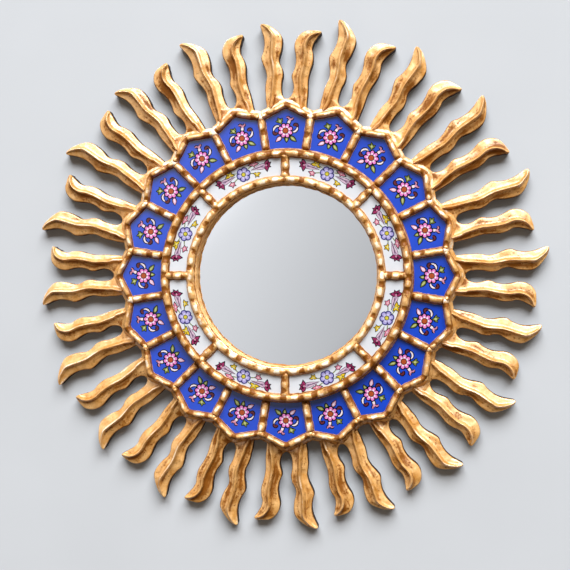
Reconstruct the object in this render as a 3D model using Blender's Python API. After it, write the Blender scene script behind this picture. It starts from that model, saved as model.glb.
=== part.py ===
"""Sunburst wall mirror: carved gilt rays round two rings of painted glass tiles and a round mirror.

Metres, +Z up. The front faces -Y, the back lies on the wall plane Y = 0 and the origin is the
centre of the back. In the comments and functions below, u runs to the right and v up in the
plane of the wall, and h is the height off the wall.
"""
import math

import bmesh
import bpy
from mathutils import Vector

# Counts
PETAL_COUNT = 20
BAND_TILE_COUNT = 8
PANEL_SCREW_COUNT = 3
CIRCLE_STEPS = 80
SCREW_STEPS = 12
WIRE_STEPS = 8

# Clearance between neighbouring pieces: a glue line, or a loose fit
GAP = 0.0003

# Mirror, filler card and backing panel, front to back
SIGHT_RADIUS = 0.107
MIRROR_LAP = 0.0047
GLASS_THICKNESS = 0.004
FILLER_THICKNESS = 0.005
PANEL_THICKNESS = 0.003
PANEL_LEDGE = 0.012

# Band ring with the white tiles
SIGHT_MOULDING_WIDTH = 0.0085
BAND_TILE_WIDTH = 0.0225
MID_MOULDING_WIDTH = 0.009
BAND_DIVIDER_WIDTH = 0.008
BAND_FLOOR = 0.0118
BAND_CREST = 0.0055

# Petal frame with the blue tiles
TILE_HEIGHT = 0.0477
TILE_THICKNESS = 0.003
TILE_ARRIS = 0.0005
GABLE_PITCH = math.radians(27.5)
GABLE_WIDTH = 0.0068
PETAL_DIVIDER_WIDTH = 0.0076
PETAL_FLOOR = 0.0038
PETAL_CREST = 0.006
MOULDING_CHAMFER = 0.0025
MOULDING_SHOULDER = 0.004

# Carved rays
RAY_EDGE = 0.009
RAY_WEB = 0.0115
RAY_RIDGE = 0.017
RAY_TIP = 0.0115
RAY_TAPER_ROWS = 3

# Each row crosses a ray: outer edge (u, v), ridge (u, v), inner edge (u, v), with v counted
# from the gable's outer apex. The first rows share the web between the two rays, on u = 0.
WEB_ROWS = 3
LONG_RAY = (
    (-0.0225, -0.0330, -0.0175, -0.0330, 0.0000, -0.0330),
    (-0.0233, -0.0070, -0.0178, -0.0070, 0.0000, -0.0070),
    (-0.0246, 0.0030, -0.0162, 0.0045, 0.0000, 0.0032),
    (-0.0249, 0.0093, -0.0154, 0.0093, -0.0047, 0.0067),
    (-0.0255, 0.0172, -0.0150, 0.0161, -0.0064, 0.0151),
    (-0.0249, 0.0245, -0.0147, 0.0245, -0.0064, 0.0245),
    (-0.0242, 0.0307, -0.0142, 0.0328, -0.0050, 0.0324),
    (-0.0262, 0.0391, -0.0154, 0.0412, -0.0062, 0.0401),
    (-0.0298, 0.0468, -0.0172, 0.0485, -0.0096, 0.0470),
    (-0.0321, 0.0543, -0.0184, 0.0548, -0.0107, 0.0537),
    (-0.0302, 0.0621, -0.0186, 0.0631, -0.0086, 0.0631),
    (-0.0294, 0.0715, -0.0186, 0.0736, -0.0079, 0.0731),
    (-0.0310, 0.0804, -0.0194, 0.0819, -0.0094, 0.0809),
    (-0.0336, 0.0872, -0.0242, 0.0887, -0.0154, 0.0877),
    (-0.0356, 0.0919, -0.0300, 0.0934, -0.0242, 0.0938),
    (-0.0374, 0.0955, -0.0352, 0.0965, -0.0330, 0.0974),
)
SHORT_RAY = (
    (0.0225, -0.0330, 0.0175, -0.0330, 0.0000, -0.0330),
    (0.0234, -0.0070, 0.0180, -0.0070, 0.0000, -0.0070),
    (0.0240, 0.0020, 0.0180, 0.0040, 0.0000, 0.0032),
    (0.0246, 0.0078, 0.0176, 0.0078, 0.0047, 0.0063),
    (0.0248, 0.0150, 0.0172, 0.0150, 0.0076, 0.0145),
    (0.0246, 0.0234, 0.0170, 0.0234, 0.0074, 0.0208),
    (0.0250, 0.0297, 0.0173, 0.0297, 0.0050, 0.0311),
    (0.0268, 0.0381, 0.0189, 0.0381, 0.0078, 0.0396),
    (0.0292, 0.0469, 0.0203, 0.0469, 0.0091, 0.0485),
    (0.0290, 0.0561, 0.0208, 0.0558, 0.0082, 0.0563),
    (0.0274, 0.0633, 0.0199, 0.0647, 0.0063, 0.0652),
    (0.0290, 0.0705, 0.0212, 0.0715, 0.0073, 0.0734),
    (0.0312, 0.0746, 0.0246, 0.0771, 0.0116, 0.0805),
    (0.0330, 0.0785, 0.0288, 0.0805, 0.0180, 0.0849),
    (0.0346, 0.0809, 0.0324, 0.0824, 0.0270, 0.0857),
    (0.0358, 0.0832, 0.0351, 0.0844, 0.0344, 0.0855),
)

# Strap hanger in the back of the base ring
STRAP_WIDTH = 0.014
STRAP_THICKNESS = 0.0012
STRAP_LENGTH = 0.022
STRAP_TURN = math.radians(270)
STRAP_TURN_STEPS = 12
STRAP_SCREW_INSET = 0.008
RING_WIRE = 0.003
RING_INNER_WIDTH = 0.018
RING_SHANK = 0.005
RING_CORNER = 0.003
RING_CORNER_STEPS = 3
RING_BOW_STEPS = 12
KNUCKLE_SETBACK = 0.0007
RECESS_MARGIN = 0.002
RECESS_WALL = 0.004
RIM_WALL = 0.0065

# Screws
PANEL_SCREW_HEAD_RADIUS = 0.003
PANEL_SCREW_HEAD_DEPTH = 0.0018
PANEL_SCREW_RADIUS = 0.0014
PANEL_SCREW_LENGTH = 0.009
HANGER_SCREW_HEAD_RADIUS = 0.0035
HANGER_SCREW_HEAD_HEIGHT = 0.002
HANGER_SCREW_RADIUS = 0.0016
HANGER_SCREW_BITE = 0.004
HANGER_SCREW_CROWN_RADIUS = 0.0021
HANGER_SCREW_BRIM = 0.0009
SCREW_POINT = 0.002
SCREW_TIP_RADIUS = 0.0005

# Faces that meet at more than this angle show an arris
ARRIS_ANGLE = math.radians(30)

# How far a cutting shape runs past the face that it cuts
OVERCUT = 0.001

# Heights off the wall
GLASS_BACK = PANEL_THICKNESS + GAP + FILLER_THICKNESS + GAP
BASE_TOP = GLASS_BACK + GLASS_THICKNESS
FRAME_BOTTOM = BASE_TOP + GAP
PETAL_POCKET = FRAME_BOTTOM + PETAL_FLOOR
PETAL_TILE_FACE = PETAL_POCKET + GAP + TILE_THICKNESS
PETAL_TOP = PETAL_TILE_FACE + PETAL_CREST
BAND_POCKET = FRAME_BOTTOM + BAND_FLOOR
BAND_TILE_FACE = BAND_POCKET + GAP + TILE_THICKNESS
BAND_TOP = BAND_TILE_FACE + BAND_CREST

# Radii, from the mirror outwards
MIRROR_RADIUS = SIGHT_RADIUS + MIRROR_LAP
BORE_RADIUS = MIRROR_RADIUS + GAP
REBATE_RADIUS = BORE_RADIUS + PANEL_LEDGE
PANEL_RADIUS = REBATE_RADIUS - GAP
BAND_TILE_INNER = SIGHT_RADIUS + SIGHT_MOULDING_WIDTH
BAND_TILE_OUTER = BAND_TILE_INNER + BAND_TILE_WIDTH
BAND_RADIUS = BAND_TILE_OUTER + MID_MOULDING_WIDTH
TILE_BOTTOM = BAND_RADIUS + GAP
TILE_APEX = TILE_BOTTOM + TILE_HEIGHT
GABLE_APEX = TILE_APEX + GABLE_WIDTH / math.cos(GABLE_PITCH)
HALF_PETAL = math.pi / PETAL_COUNT

# Hanger places: the ring's axis, the recess round it and the rim that is left above
KNUCKLE_RADIUS = RING_WIRE / 2 + GAP + STRAP_THICKNESS / 2
KNUCKLE_REACH = KNUCKLE_RADIUS + STRAP_THICKNESS / 2
RECESS_DEPTH = KNUCKLE_SETBACK + 2 * KNUCKLE_REACH + GAP
RING_HALF_WIDTH = (RING_INNER_WIDTH + RING_WIRE) / 2
STRAP_FOOT = REBATE_RADIUS + RECESS_WALL + RECESS_MARGIN
RING_AXIS_V = STRAP_FOOT + STRAP_LENGTH
RING_AXIS_H = KNUCKLE_SETBACK + KNUCKLE_REACH
RING_TOP = RING_AXIS_V + RING_SHANK + RING_HALF_WIDTH + RING_WIRE / 2
RECESS_TOP = RING_TOP + RECESS_MARGIN
RECESS_HALF_WIDTH = RING_HALF_WIDTH + RING_WIRE / 2 + RECESS_MARGIN
BASE_RADIUS = RECESS_TOP + RIM_WALL


def at(u, v, h):
    """Point at u to the right, v up and h off the wall."""
    return Vector((u, -h, v))


def polar(angle, radius, h):
    """Point at a clock angle from the top, seen from the front."""
    return at(radius * math.sin(angle), radius * math.cos(angle), h)


def circle(radius, h):
    """One loop of a turned piece."""
    return [polar(math.tau * i / CIRCLE_STEPS, radius, h) for i in range(CIRCLE_STEPS)]


def finish_mesh(name, bm):
    """Turn a bmesh with outward faces into a mesh, smooth except at its arrises."""
    bmesh.ops.recalc_face_normals(bm, faces=bm.faces)
    mesh = bpy.data.meshes.new(name)
    bm.to_mesh(mesh)
    bm.free()
    mesh.shade_smooth()
    mesh.set_sharp_from_angle(angle=ARRIS_ANGLE)
    return mesh


def skin(name, loops, ring=False):
    """Skin a stack of point loops. A ring joins the last loop to the first, others are capped."""
    bm = bmesh.new()
    rows = [[bm.verts.new(point) for point in loop] for loop in loops]
    joins = list(zip(rows, rows[1:]))
    if ring:
        joins.append((rows[-1], rows[0]))
    else:
        bm.faces.new(rows[0])
        bm.faces.new(rows[-1])
    for low, high in joins:
        for i in range(len(low)):
            bm.faces.new((low[i - 1], low[i], high[i], high[i - 1]))
    return finish_mesh(name, bm)


def turned(name, profile):
    """Disc or plug turned about the mirror's axis from (radius, h) pairs."""
    return skin(name, [circle(radius, h) for radius, h in profile])


def turned_ring(name, profile):
    """Ring turned about the mirror's axis from a closed (radius, h) profile."""
    return skin(name, [circle(radius, h) for radius, h in profile], ring=True)


def join_meshes(name, meshes):
    """Several separate bodies in one cutting mesh."""
    bm = bmesh.new()
    for mesh in meshes:
        bm.from_mesh(mesh)
        bpy.data.meshes.remove(mesh)
    return finish_mesh(name, bm)


def cut(body, cutters):
    """Take the cutters out of a mesh and return what is left."""
    collection = bpy.context.scene.collection
    blank = bpy.data.objects.new(body.name, body)
    collection.objects.link(blank)
    tools = []
    for cutter in cutters:
        tool = bpy.data.objects.new(cutter.name, cutter)
        tool.hide_render = True
        tool.display_type = "WIRE"
        collection.objects.link(tool)
        modifier = blank.modifiers.new(cutter.name, "BOOLEAN")
        modifier.operation = "DIFFERENCE"
        modifier.object = tool
        tools.append(tool)
    graph = bpy.context.evaluated_depsgraph_get()
    result = bpy.data.meshes.new_from_object(blank.evaluated_get(graph))
    result.name = body.name + "_cut"
    for used in [blank, *tools]:
        mesh = used.data
        bpy.data.objects.remove(used)
        bpy.data.meshes.remove(mesh)
    return result


def make_material(name, colour, roughness, metallic):
    """Plain Principled material."""
    material = bpy.data.materials.new(name)
    material.use_nodes = True
    shader = material.node_tree.nodes["Principled BSDF"]
    shader.inputs["Base Color"].default_value = (*colour, 1.0)
    shader.inputs["Roughness"].default_value = roughness
    shader.inputs["Metallic"].default_value = metallic
    material.diffuse_color = (*colour, 1.0)
    return material


def add_piece(name, mesh, material, angle=0.0, location=(0.0, 0.0, 0.0)):
    """Place one piece on the frame, turned clockwise by angle as seen from the front."""
    piece = bpy.data.objects.new(name, mesh)
    if not mesh.materials:
        mesh.materials.append(material)
    piece.location = location
    piece.rotation_euler = (0.0, angle, 0.0)
    bpy.context.scene.collection.objects.link(piece)
    piece.parent = bpy.data.objects["mirror_centre"]
    return piece


def petal_outline(grow, bottom):
    """Five-sided outline of a petal tile grown by a margin, with its arc on radius bottom."""
    sine = math.sin(HALF_PETAL)
    cosine = math.cos(HALF_PETAL)
    slope = math.tan(GABLE_PITCH)
    inset = PETAL_DIVIDER_WIDTH / 2 - grow
    apex = TILE_APEX + grow / math.cos(GABLE_PITCH)
    foot = math.sqrt(bottom ** 2 - inset ** 2)
    shoulder = (apex + inset * (cosine * slope - sine)) / (cosine + sine * slope)

    def on_side(run):
        return run * sine - inset * cosine, run * cosine + inset * sine

    corner_u, corner_v = on_side(foot)
    shoulder_u, shoulder_v = on_side(shoulder)
    step = math.tau / CIRCLE_STEPS
    outline = [(corner_u, corner_v), (shoulder_u, shoulder_v), (0.0, apex)]
    outline += [(-shoulder_u, shoulder_v), (-corner_u, corner_v)]
    outline += [(bottom * math.sin(i * step), bottom * math.cos(i * step)) for i in (-1, 0, 1)]
    return outline


def star_loop(grow, h):
    """Loop round all the gables, at a margin outside the petal tiles."""
    apex = TILE_APEX + grow / math.cos(GABLE_PITCH)
    slope = math.tan(GABLE_PITCH)
    steps_per_petal = CIRCLE_STEPS // PETAL_COUNT
    loop = []
    for i in range(CIRCLE_STEPS):
        angle = math.tau * i / CIRCLE_STEPS
        from_axis = (i + steps_per_petal // 2) % steps_per_petal - steps_per_petal // 2
        lean = abs(math.tau * from_axis / CIRCLE_STEPS)
        loop.append(polar(angle, apex / (math.cos(lean) + math.sin(lean) * slope), h))
    return loop


def band_outline(grow):
    """Curved outline of one white tile, grown by a margin, centred on the top."""
    inner = BAND_TILE_INNER - grow
    outer = BAND_TILE_OUTER + grow
    inset = BAND_DIVIDER_WIDTH / 2 - grow
    half = math.pi / BAND_TILE_COUNT
    step = math.tau / CIRCLE_STEPS

    def arc(radius):
        end = half - math.asin(inset / radius)
        inside = [i * step for i in range(-CIRCLE_STEPS, CIRCLE_STEPS) if abs(i * step) < end - step / 4]
        return [(radius * math.sin(a), radius * math.cos(a)) for a in [-end, *inside, end]]

    return arc(outer) + arc(inner)[::-1]


def raised(outline, h):
    """Loop of a flat outline at height h."""
    return [at(u, v, h) for u, v in outline]


def pocket_cutter(name, outline_at, floor, top):
    """Pocket with a chamfered mouth, from an outline that grows with its margin."""
    spread_past_top = 1 + OVERCUT / MOULDING_SHOULDER
    loops = [
        raised(outline_at(GAP), floor),
        raised(outline_at(GAP), top - MOULDING_SHOULDER),
        raised(outline_at(GAP + MOULDING_CHAMFER * spread_past_top), top + OVERCUT),
    ]
    return skin(name, loops)


def spread(mesh, count, offset=0.0):
    """Turned copies of a cutter at even steps round the mirror's axis."""
    copies = []
    for i in range(count):
        angle = math.tau * (i + offset) / count
        copy = mesh.copy()
        for vertex in copy.vertices:
            u, v, h = vertex.co.x, vertex.co.z, -vertex.co.y
            vertex.co = at(
                u * math.cos(angle) + v * math.sin(angle),
                v * math.cos(angle) - u * math.sin(angle),
                h,
            )
        copies.append(copy)
    bpy.data.meshes.remove(mesh)
    return join_meshes("spread_cutter", copies)


def petal_tile_mesh():
    """Blue tile, lying in the pocket of the top petal."""
    back = PETAL_POCKET + GAP
    face = PETAL_TILE_FACE
    full = petal_outline(0.0, TILE_BOTTOM)
    ground = petal_outline(-TILE_ARRIS, TILE_BOTTOM + TILE_ARRIS)
    return skin("petal_tile", [raised(full, back), raised(full, face - TILE_ARRIS), raised(ground, face)])


def band_tile_mesh():
    """White tile, lying in a pocket centred on the top."""
    back = BAND_POCKET + GAP
    face = BAND_TILE_FACE
    full = band_outline(0.0)
    ground = band_outline(-TILE_ARRIS)
    return skin("band_tile", [raised(full, back), raised(full, face - TILE_ARRIS), raised(ground, face)])


def petal_frame_mesh():
    """Gabled lattice with an open-fronted pocket for each blue tile."""
    inner = BAND_RADIUS + GAP
    crest = GABLE_WIDTH - MOULDING_CHAMFER
    loops = [
        star_loop(GABLE_WIDTH, FRAME_BOTTOM),
        star_loop(GABLE_WIDTH, PETAL_TOP - MOULDING_SHOULDER),
        star_loop(crest, PETAL_TOP),
        circle(inner, PETAL_TOP),
        circle(inner, FRAME_BOTTOM),
    ]
    body = skin("petal_frame", loops, ring=True)

    def mouth(grow):
        return petal_outline(grow, inner - OVERCUT)

    pocket = pocket_cutter("petal_pocket", mouth, PETAL_POCKET, PETAL_TOP)
    return cut(body, [spread(pocket, PETAL_COUNT)])


def band_ring_mesh():
    """Raised ring with a pocket for each white tile, its lip holding the mirror in."""
    profile = (
        (BAND_RADIUS, FRAME_BOTTOM),
        (BAND_RADIUS, BAND_TOP - MOULDING_SHOULDER),
        (BAND_RADIUS - MOULDING_CHAMFER, BAND_TOP),
        (SIGHT_RADIUS + MOULDING_CHAMFER, BAND_TOP),
        (SIGHT_RADIUS, BAND_TOP - MOULDING_SHOULDER),
        (SIGHT_RADIUS, FRAME_BOTTOM),
    )
    body = turned_ring("band_ring", profile)
    pocket = pocket_cutter("band_pocket", band_outline, BAND_POCKET, BAND_TOP)
    return cut(body, [spread(pocket, BAND_TILE_COUNT, offset=0.5)])


def screw_loops(profile, grow):
    """Loops of a screw lying along h, from (radius, h) pairs, head first."""
    loops = []
    for radius, h in profile:
        ring = []
        for i in range(SCREW_STEPS):
            angle = math.tau * i / SCREW_STEPS
            ring.append(at((radius + grow) * math.cos(angle), (radius + grow) * math.sin(angle), h))
        loops.append(ring)
    return loops


def panel_screw_mesh(grow):
    """Countersunk screw; with a margin to grow by, the hole that it sits in."""
    head = GAP
    neck = head + PANEL_SCREW_HEAD_DEPTH
    tip = head + PANEL_SCREW_LENGTH + grow
    profile = [
        (PANEL_SCREW_HEAD_RADIUS, head),
        (PANEL_SCREW_RADIUS, neck),
        (PANEL_SCREW_RADIUS, tip - SCREW_POINT),
        (SCREW_TIP_RADIUS, tip),
    ]
    if grow:
        profile.insert(0, (PANEL_SCREW_HEAD_RADIUS, head - OVERCUT))
    return skin("panel_screw", screw_loops(profile, grow))


def hanger_screw_mesh(grow):
    """Round-headed screw; with a margin to grow by, the hole that its shank sits in."""
    seat = RECESS_DEPTH - GAP - STRAP_THICKNESS - GAP
    tip = RECESS_DEPTH + HANGER_SCREW_BITE + grow
    shank = [
        (HANGER_SCREW_RADIUS, seat),
        (HANGER_SCREW_RADIUS, tip - SCREW_POINT),
        (SCREW_TIP_RADIUS, tip),
    ]
    head = [
        (HANGER_SCREW_CROWN_RADIUS, seat - HANGER_SCREW_HEAD_HEIGHT),
        (HANGER_SCREW_HEAD_RADIUS, seat - HANGER_SCREW_BRIM),
        (HANGER_SCREW_HEAD_RADIUS, seat),
    ]
    profile = shank if grow else head + shank
    return skin("hanger_screw", screw_loops(profile, grow))


def moved(mesh, offset):
    """The same mesh moved by an offset."""
    for vertex in mesh.vertices:
        vertex.co += offset
    return mesh


def panel_screw_places():
    """Screw places on the panel's ledge, clear of the hanger at the top."""
    radius = BORE_RADIUS + PANEL_LEDGE / 2
    turns = [(i + 0.5) / PANEL_SCREW_COUNT for i in range(PANEL_SCREW_COUNT)]
    return [polar(math.tau * turn, radius, 0.0) for turn in turns]


def hanger_screw_place():
    """Screw place in the strap's foot."""
    return at(0.0, STRAP_FOOT + STRAP_SCREW_INSET, 0.0)


def base_ring_mesh():
    """Back ring: bore for the mirror, rebate for the panel, recess for the hanger."""
    profile = (
        (BASE_RADIUS, 0.0),
        (BASE_RADIUS, BASE_TOP),
        (BORE_RADIUS, BASE_TOP),
        (BORE_RADIUS, PANEL_THICKNESS + GAP),
        (REBATE_RADIUS, PANEL_THICKNESS + GAP),
        (REBATE_RADIUS, 0.0),
    )
    body = turned_ring("base_ring", profile)
    low = STRAP_FOOT - RECESS_MARGIN
    corners = [(-RECESS_HALF_WIDTH, low), (RECESS_HALF_WIDTH, low)]
    corners += [(RECESS_HALF_WIDTH, RECESS_TOP), (-RECESS_HALF_WIDTH, RECESS_TOP)]
    recess = skin("recess", [raised(corners, -OVERCUT), raised(corners, RECESS_DEPTH)])
    cutters = [recess, moved(hanger_screw_mesh(GAP), hanger_screw_place())]
    cutters += [moved(panel_screw_mesh(GAP), place) for place in panel_screw_places()]
    return cut(body, cutters)


def backing_panel_mesh():
    """Thin round panel with a countersunk hole for each screw."""
    body = turned("backing_panel", [(PANEL_RADIUS, 0.0), (PANEL_RADIUS, PANEL_THICKNESS)])
    return cut(body, [moved(panel_screw_mesh(GAP), place) for place in panel_screw_places()])


def ridge_height(row, rows):
    """Ridge height along a ray: level, then down to the tip."""
    left = rows - 1 - row
    share = min(1.0, left / RAY_TAPER_ROWS)
    return RAY_TIP + (RAY_RIDGE - RAY_TIP) * share


def ray_rows(bm, ray, web):
    """Top and floor vertices of one ray, row by row: outer edge, ridge, inner edge, two floor."""
    rows = []
    for i, (out_u, out_v, ridge_u, ridge_v, in_u, in_v) in enumerate(ray):
        outer = bm.verts.new(at(out_u, GABLE_APEX + out_v, RAY_EDGE))
        ridge = bm.verts.new(at(ridge_u, GABLE_APEX + ridge_v, ridge_height(i, len(ray))))
        outer_floor = bm.verts.new(at(out_u, GABLE_APEX + out_v, 0.0))
        if i < len(web):
            inner, inner_floor = web[i]
        else:
            inner = bm.verts.new(at(in_u, GABLE_APEX + in_v, RAY_EDGE))
            inner_floor = bm.verts.new(at(in_u, GABLE_APEX + in_v, 0.0))
        rows.append((outer, ridge, inner, outer_floor, inner_floor))
    return rows


def ray_pair_mesh():
    """Forked pair of wavy rays for the top petal, its root lapped under the petal frame."""
    bm = bmesh.new()
    web = []
    for i, row in enumerate(LONG_RAY[:WEB_ROWS]):
        height = RAY_EDGE if i == WEB_ROWS - 1 else RAY_WEB
        in_u, in_v = row[4], row[5]
        top = bm.verts.new(at(in_u, GABLE_APEX + in_v, height))
        web.append((top, bm.verts.new(at(in_u, GABLE_APEX + in_v, 0.0))))
    pair = [ray_rows(bm, LONG_RAY, web), ray_rows(bm, SHORT_RAY, web)]
    for rows in pair:
        for i, (near, far) in enumerate(zip(rows, rows[1:])):
            bm.faces.new((near[0], near[1], far[1], far[0]))
            bm.faces.new((near[1], near[2], far[2], far[1]))
            bm.faces.new((near[3], far[3], far[4], near[4]))
            bm.faces.new((near[0], far[0], far[3], near[3]))
            if i >= WEB_ROWS - 1:
                bm.faces.new((near[2], near[4], far[4], far[2]))
        tip = rows[-1]
        bm.faces.new((tip[0], tip[1], tip[2], tip[4], tip[3]))
    first, second = pair[0][0], pair[1][0]
    bm.faces.new((first[0], first[1], first[2], second[1], second[0], second[3], first[4], first[3]))
    bmesh.ops.triangulate(bm, faces=bm.faces)
    body = finish_mesh("ray_pair", bm)
    lap = skin("lap", [star_loop(GABLE_WIDTH + GAP, BASE_TOP), star_loop(GABLE_WIDTH + GAP, BAND_TOP)])
    rim = turned("rim", [(BASE_RADIUS + GAP, -OVERCUT), (BASE_RADIUS + GAP, BAND_TOP)])
    return cut(body, [lap, rim])


def strap_mesh():
    """Steel strip that lies on the recess floor and turns back round the ring's bar."""
    plate_h = RING_AXIS_H + KNUCKLE_RADIUS
    path = [((STRAP_FOOT, plate_h), (0.0, 1.0))]
    for i in range(STRAP_TURN_STEPS + 1):
        angle = STRAP_TURN * i / STRAP_TURN_STEPS
        out = (math.sin(angle), math.cos(angle))
        centre = (RING_AXIS_V + KNUCKLE_RADIUS * out[0], RING_AXIS_H + KNUCKLE_RADIUS * out[1])
        path.append((centre, out))
    half = STRAP_THICKNESS / 2
    outside = [(v + half * nv, h + half * nh) for (v, h), (nv, nh) in path]
    inside = [(v - half * nv, h - half * nh) for (v, h), (nv, nh) in path]
    profile = outside + inside[::-1]
    loops = [[at(side * STRAP_WIDTH / 2, v, h) for v, h in profile] for side in (-1, 1)]
    body = skin("hanger_strap", loops)
    return cut(body, [moved(hanger_screw_mesh(GAP), hanger_screw_place())])


def ring_path():
    """Centre line of the D-ring about its bar: bar, rounded corners, shanks and bow."""
    points = []
    for side in (-1, 1):
        centre_u = side * (RING_HALF_WIDTH - RING_CORNER)
        turn = range(RING_CORNER_STEPS + 1)
        angles = [math.pi / 2 * i / RING_CORNER_STEPS for i in turn]
        corner = []
        for angle in angles:
            u = centre_u + side * RING_CORNER * math.sin(angle)
            corner.append((u, RING_CORNER - RING_CORNER * math.cos(angle)))
        points += corner if side > 0 else corner[::-1]
    for i in range(RING_BOW_STEPS + 1):
        angle = math.pi * i / RING_BOW_STEPS
        points.append((RING_HALF_WIDTH * math.cos(angle), RING_SHANK + RING_HALF_WIDTH * math.sin(angle)))
    return points


def ring_mesh():
    """D-ring of round wire about its own bar."""
    path = ring_path()
    loops = []
    for i, (u, v) in enumerate(path):
        before = path[i - 1]
        after = path[(i + 1) % len(path)]
        along = Vector((after[0] - before[0], after[1] - before[1])).normalized()
        loop = []
        for j in range(WIRE_STEPS):
            angle = math.tau * (j + 0.5) / WIRE_STEPS
            sideways = RING_WIRE / 2 * math.cos(angle)
            up = RING_WIRE / 2 * math.sin(angle)
            loop.append(at(u + along.y * sideways, v - along.x * sideways, up))
        loops.append(loop)
    return skin("hanger_ring", loops, ring=True)


def build_back(materials):
    """Base ring, mirror, filler, panel, hanger and screws."""
    add_piece("base_ring", base_ring_mesh(), materials["bare_wood"])
    mirror = [(MIRROR_RADIUS, GLASS_BACK), (MIRROR_RADIUS, BASE_TOP)]
    add_piece("mirror_glass", turned("mirror_glass", mirror), materials["mirror"])
    filler = [(MIRROR_RADIUS, PANEL_THICKNESS + GAP), (MIRROR_RADIUS, GLASS_BACK - GAP)]
    add_piece("filler_card", turned("filler_card", filler), materials["card"])
    add_piece("backing_panel", backing_panel_mesh(), materials["hardboard"])
    screw = panel_screw_mesh(0.0)
    for i, place in enumerate(panel_screw_places()):
        add_piece(f"panel_screw_{i + 1}", screw, materials["steel"], location=place)
    add_piece("hanger_strap", strap_mesh(), materials["steel"])
    add_piece("hanger_screw", hanger_screw_mesh(0.0), materials["steel"], location=hanger_screw_place())
    axis = at(0.0, RING_AXIS_V, RING_AXIS_H)
    add_piece("hanger_ring", ring_mesh(), materials["steel"], location=axis)


def build_front(materials):
    """Band ring, petal frame, their tiles and the rays."""
    add_piece("band_ring", band_ring_mesh(), materials["gilt_wood"])
    add_piece("petal_frame", petal_frame_mesh(), materials["gilt_wood"])
    white = band_tile_mesh()
    for i in range(BAND_TILE_COUNT):
        angle = math.tau * (i + 0.5) / BAND_TILE_COUNT
        add_piece(f"band_tile_{i + 1}", white, materials["white_glass"], angle)
    blue = petal_tile_mesh()
    rays = ray_pair_mesh()
    for i in range(PETAL_COUNT):
        angle = math.tau * i / PETAL_COUNT
        add_piece(f"petal_tile_{i + 1:02d}", blue, materials["blue_glass"], angle)
        add_piece(f"ray_pair_{i + 1:02d}", rays, materials["gilt_wood"], angle)


def main():
    for old in list(bpy.data.objects):
        bpy.data.objects.remove(old)
    centre = bpy.data.objects.new("mirror_centre", None)
    bpy.context.scene.collection.objects.link(centre)
    materials = {
        "gilt_wood": make_material("gilt_wood", (0.72, 0.40, 0.10), 0.38, 0.85),
        "bare_wood": make_material("bare_wood", (0.09, 0.05, 0.03), 0.75, 0.0),
        "blue_glass": make_material("blue_glass", (0.05, 0.09, 0.68), 0.10, 0.0),
        "white_glass": make_material("white_glass", (0.84, 0.86, 0.88), 0.10, 0.0),
        "mirror": make_material("mirror", (0.90, 0.91, 0.91), 0.02, 1.0),
        "card": make_material("card", (0.42, 0.30, 0.18), 0.90, 0.0),
        "hardboard": make_material("hardboard", (0.20, 0.12, 0.06), 0.80, 0.0),
        "steel": make_material("steel", (0.60, 0.58, 0.54), 0.32, 1.0),
    }
    build_back(materials)
    build_front(materials)


main()
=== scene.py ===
"""Sunburst mirror: carved gilt rays, beaded mouldings, painted glass tiles and a round mirror.

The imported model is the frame. Each operator below dresses one group of its pieces. In comments and
functions u runs to the right and v up in the plane of the wall, and h is the height off the wall.
"""
import math
from contextlib import contextmanager

import bpy
import numpy as np
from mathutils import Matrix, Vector


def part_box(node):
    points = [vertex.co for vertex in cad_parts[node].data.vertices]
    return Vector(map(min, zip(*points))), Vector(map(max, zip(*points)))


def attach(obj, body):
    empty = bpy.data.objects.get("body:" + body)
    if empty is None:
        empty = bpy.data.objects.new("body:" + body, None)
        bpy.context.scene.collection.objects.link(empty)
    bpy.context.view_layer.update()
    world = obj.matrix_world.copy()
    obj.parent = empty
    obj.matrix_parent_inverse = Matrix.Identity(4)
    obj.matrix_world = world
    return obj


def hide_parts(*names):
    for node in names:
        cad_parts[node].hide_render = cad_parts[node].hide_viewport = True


bl_info = {
    "name": "Sunburst mirror",
    "version": (1, 0, 0),
    "blender": (4, 5, 0),
    "location": "View3D > Sidebar > Sunburst",
    "description": "Dresses the frame of a carved and gilded sunburst mirror",
    "category": "Object",
}

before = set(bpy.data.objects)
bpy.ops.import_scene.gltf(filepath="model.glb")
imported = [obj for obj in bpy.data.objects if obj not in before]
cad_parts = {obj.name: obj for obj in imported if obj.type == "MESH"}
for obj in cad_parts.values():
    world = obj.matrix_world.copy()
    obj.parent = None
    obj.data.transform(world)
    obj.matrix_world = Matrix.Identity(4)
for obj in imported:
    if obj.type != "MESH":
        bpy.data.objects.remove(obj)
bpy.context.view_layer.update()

MM = 0.001
PETALS = 20
BAND_TILES = 8
PANEL_SCREWS = 3
BODY = "frame"

# Seed of all that a hand varies
GRAIN_SEED = 7

# Smallest share of a row or a flank that counts, and smallest height off the wall
HAIR = 1e-4
ON_WALL = 0.01 * MM

# Vertices closer than these are merged: in carved pieces, and where the two rays of a pair meet
MERGE_DISTANCE = 0.005 * MM
SEAM_DISTANCE = 0.01 * MM

# Edges sharper than this stay sharp, and faces that differ by less than this are one flat face
SMOOTH_ANGLE = math.radians(50.0)
FLAT_ANGLE = math.radians(1.0)


def face_height(node):
    """Height of a node's front above the wall."""
    return -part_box(node)[0].y


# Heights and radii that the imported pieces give
BASE_TOP = face_height("base_ring")
FRAME_BOTTOM = -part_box("band_ring")[1].y
BAND_CREST = face_height("band_ring")
BAND_TILE_FACE = face_height("band_tile_1")
BAND_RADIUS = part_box("band_ring")[1].x
PETAL_CREST = face_height("petal_frame")
PETAL_TILE_FACE = face_height("petal_tile_01")
TILE_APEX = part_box("petal_tile_01")[1].z
GABLE_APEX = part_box("petal_frame")[1].z
BASE_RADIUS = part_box("base_ring")[1].x

# Slope of the gables and radius of the opening round the mirror, which the boxes don't show
GABLE_PITCH = math.radians(27.5)
SIGHT_RADIUS = 107.0 * MM

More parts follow.
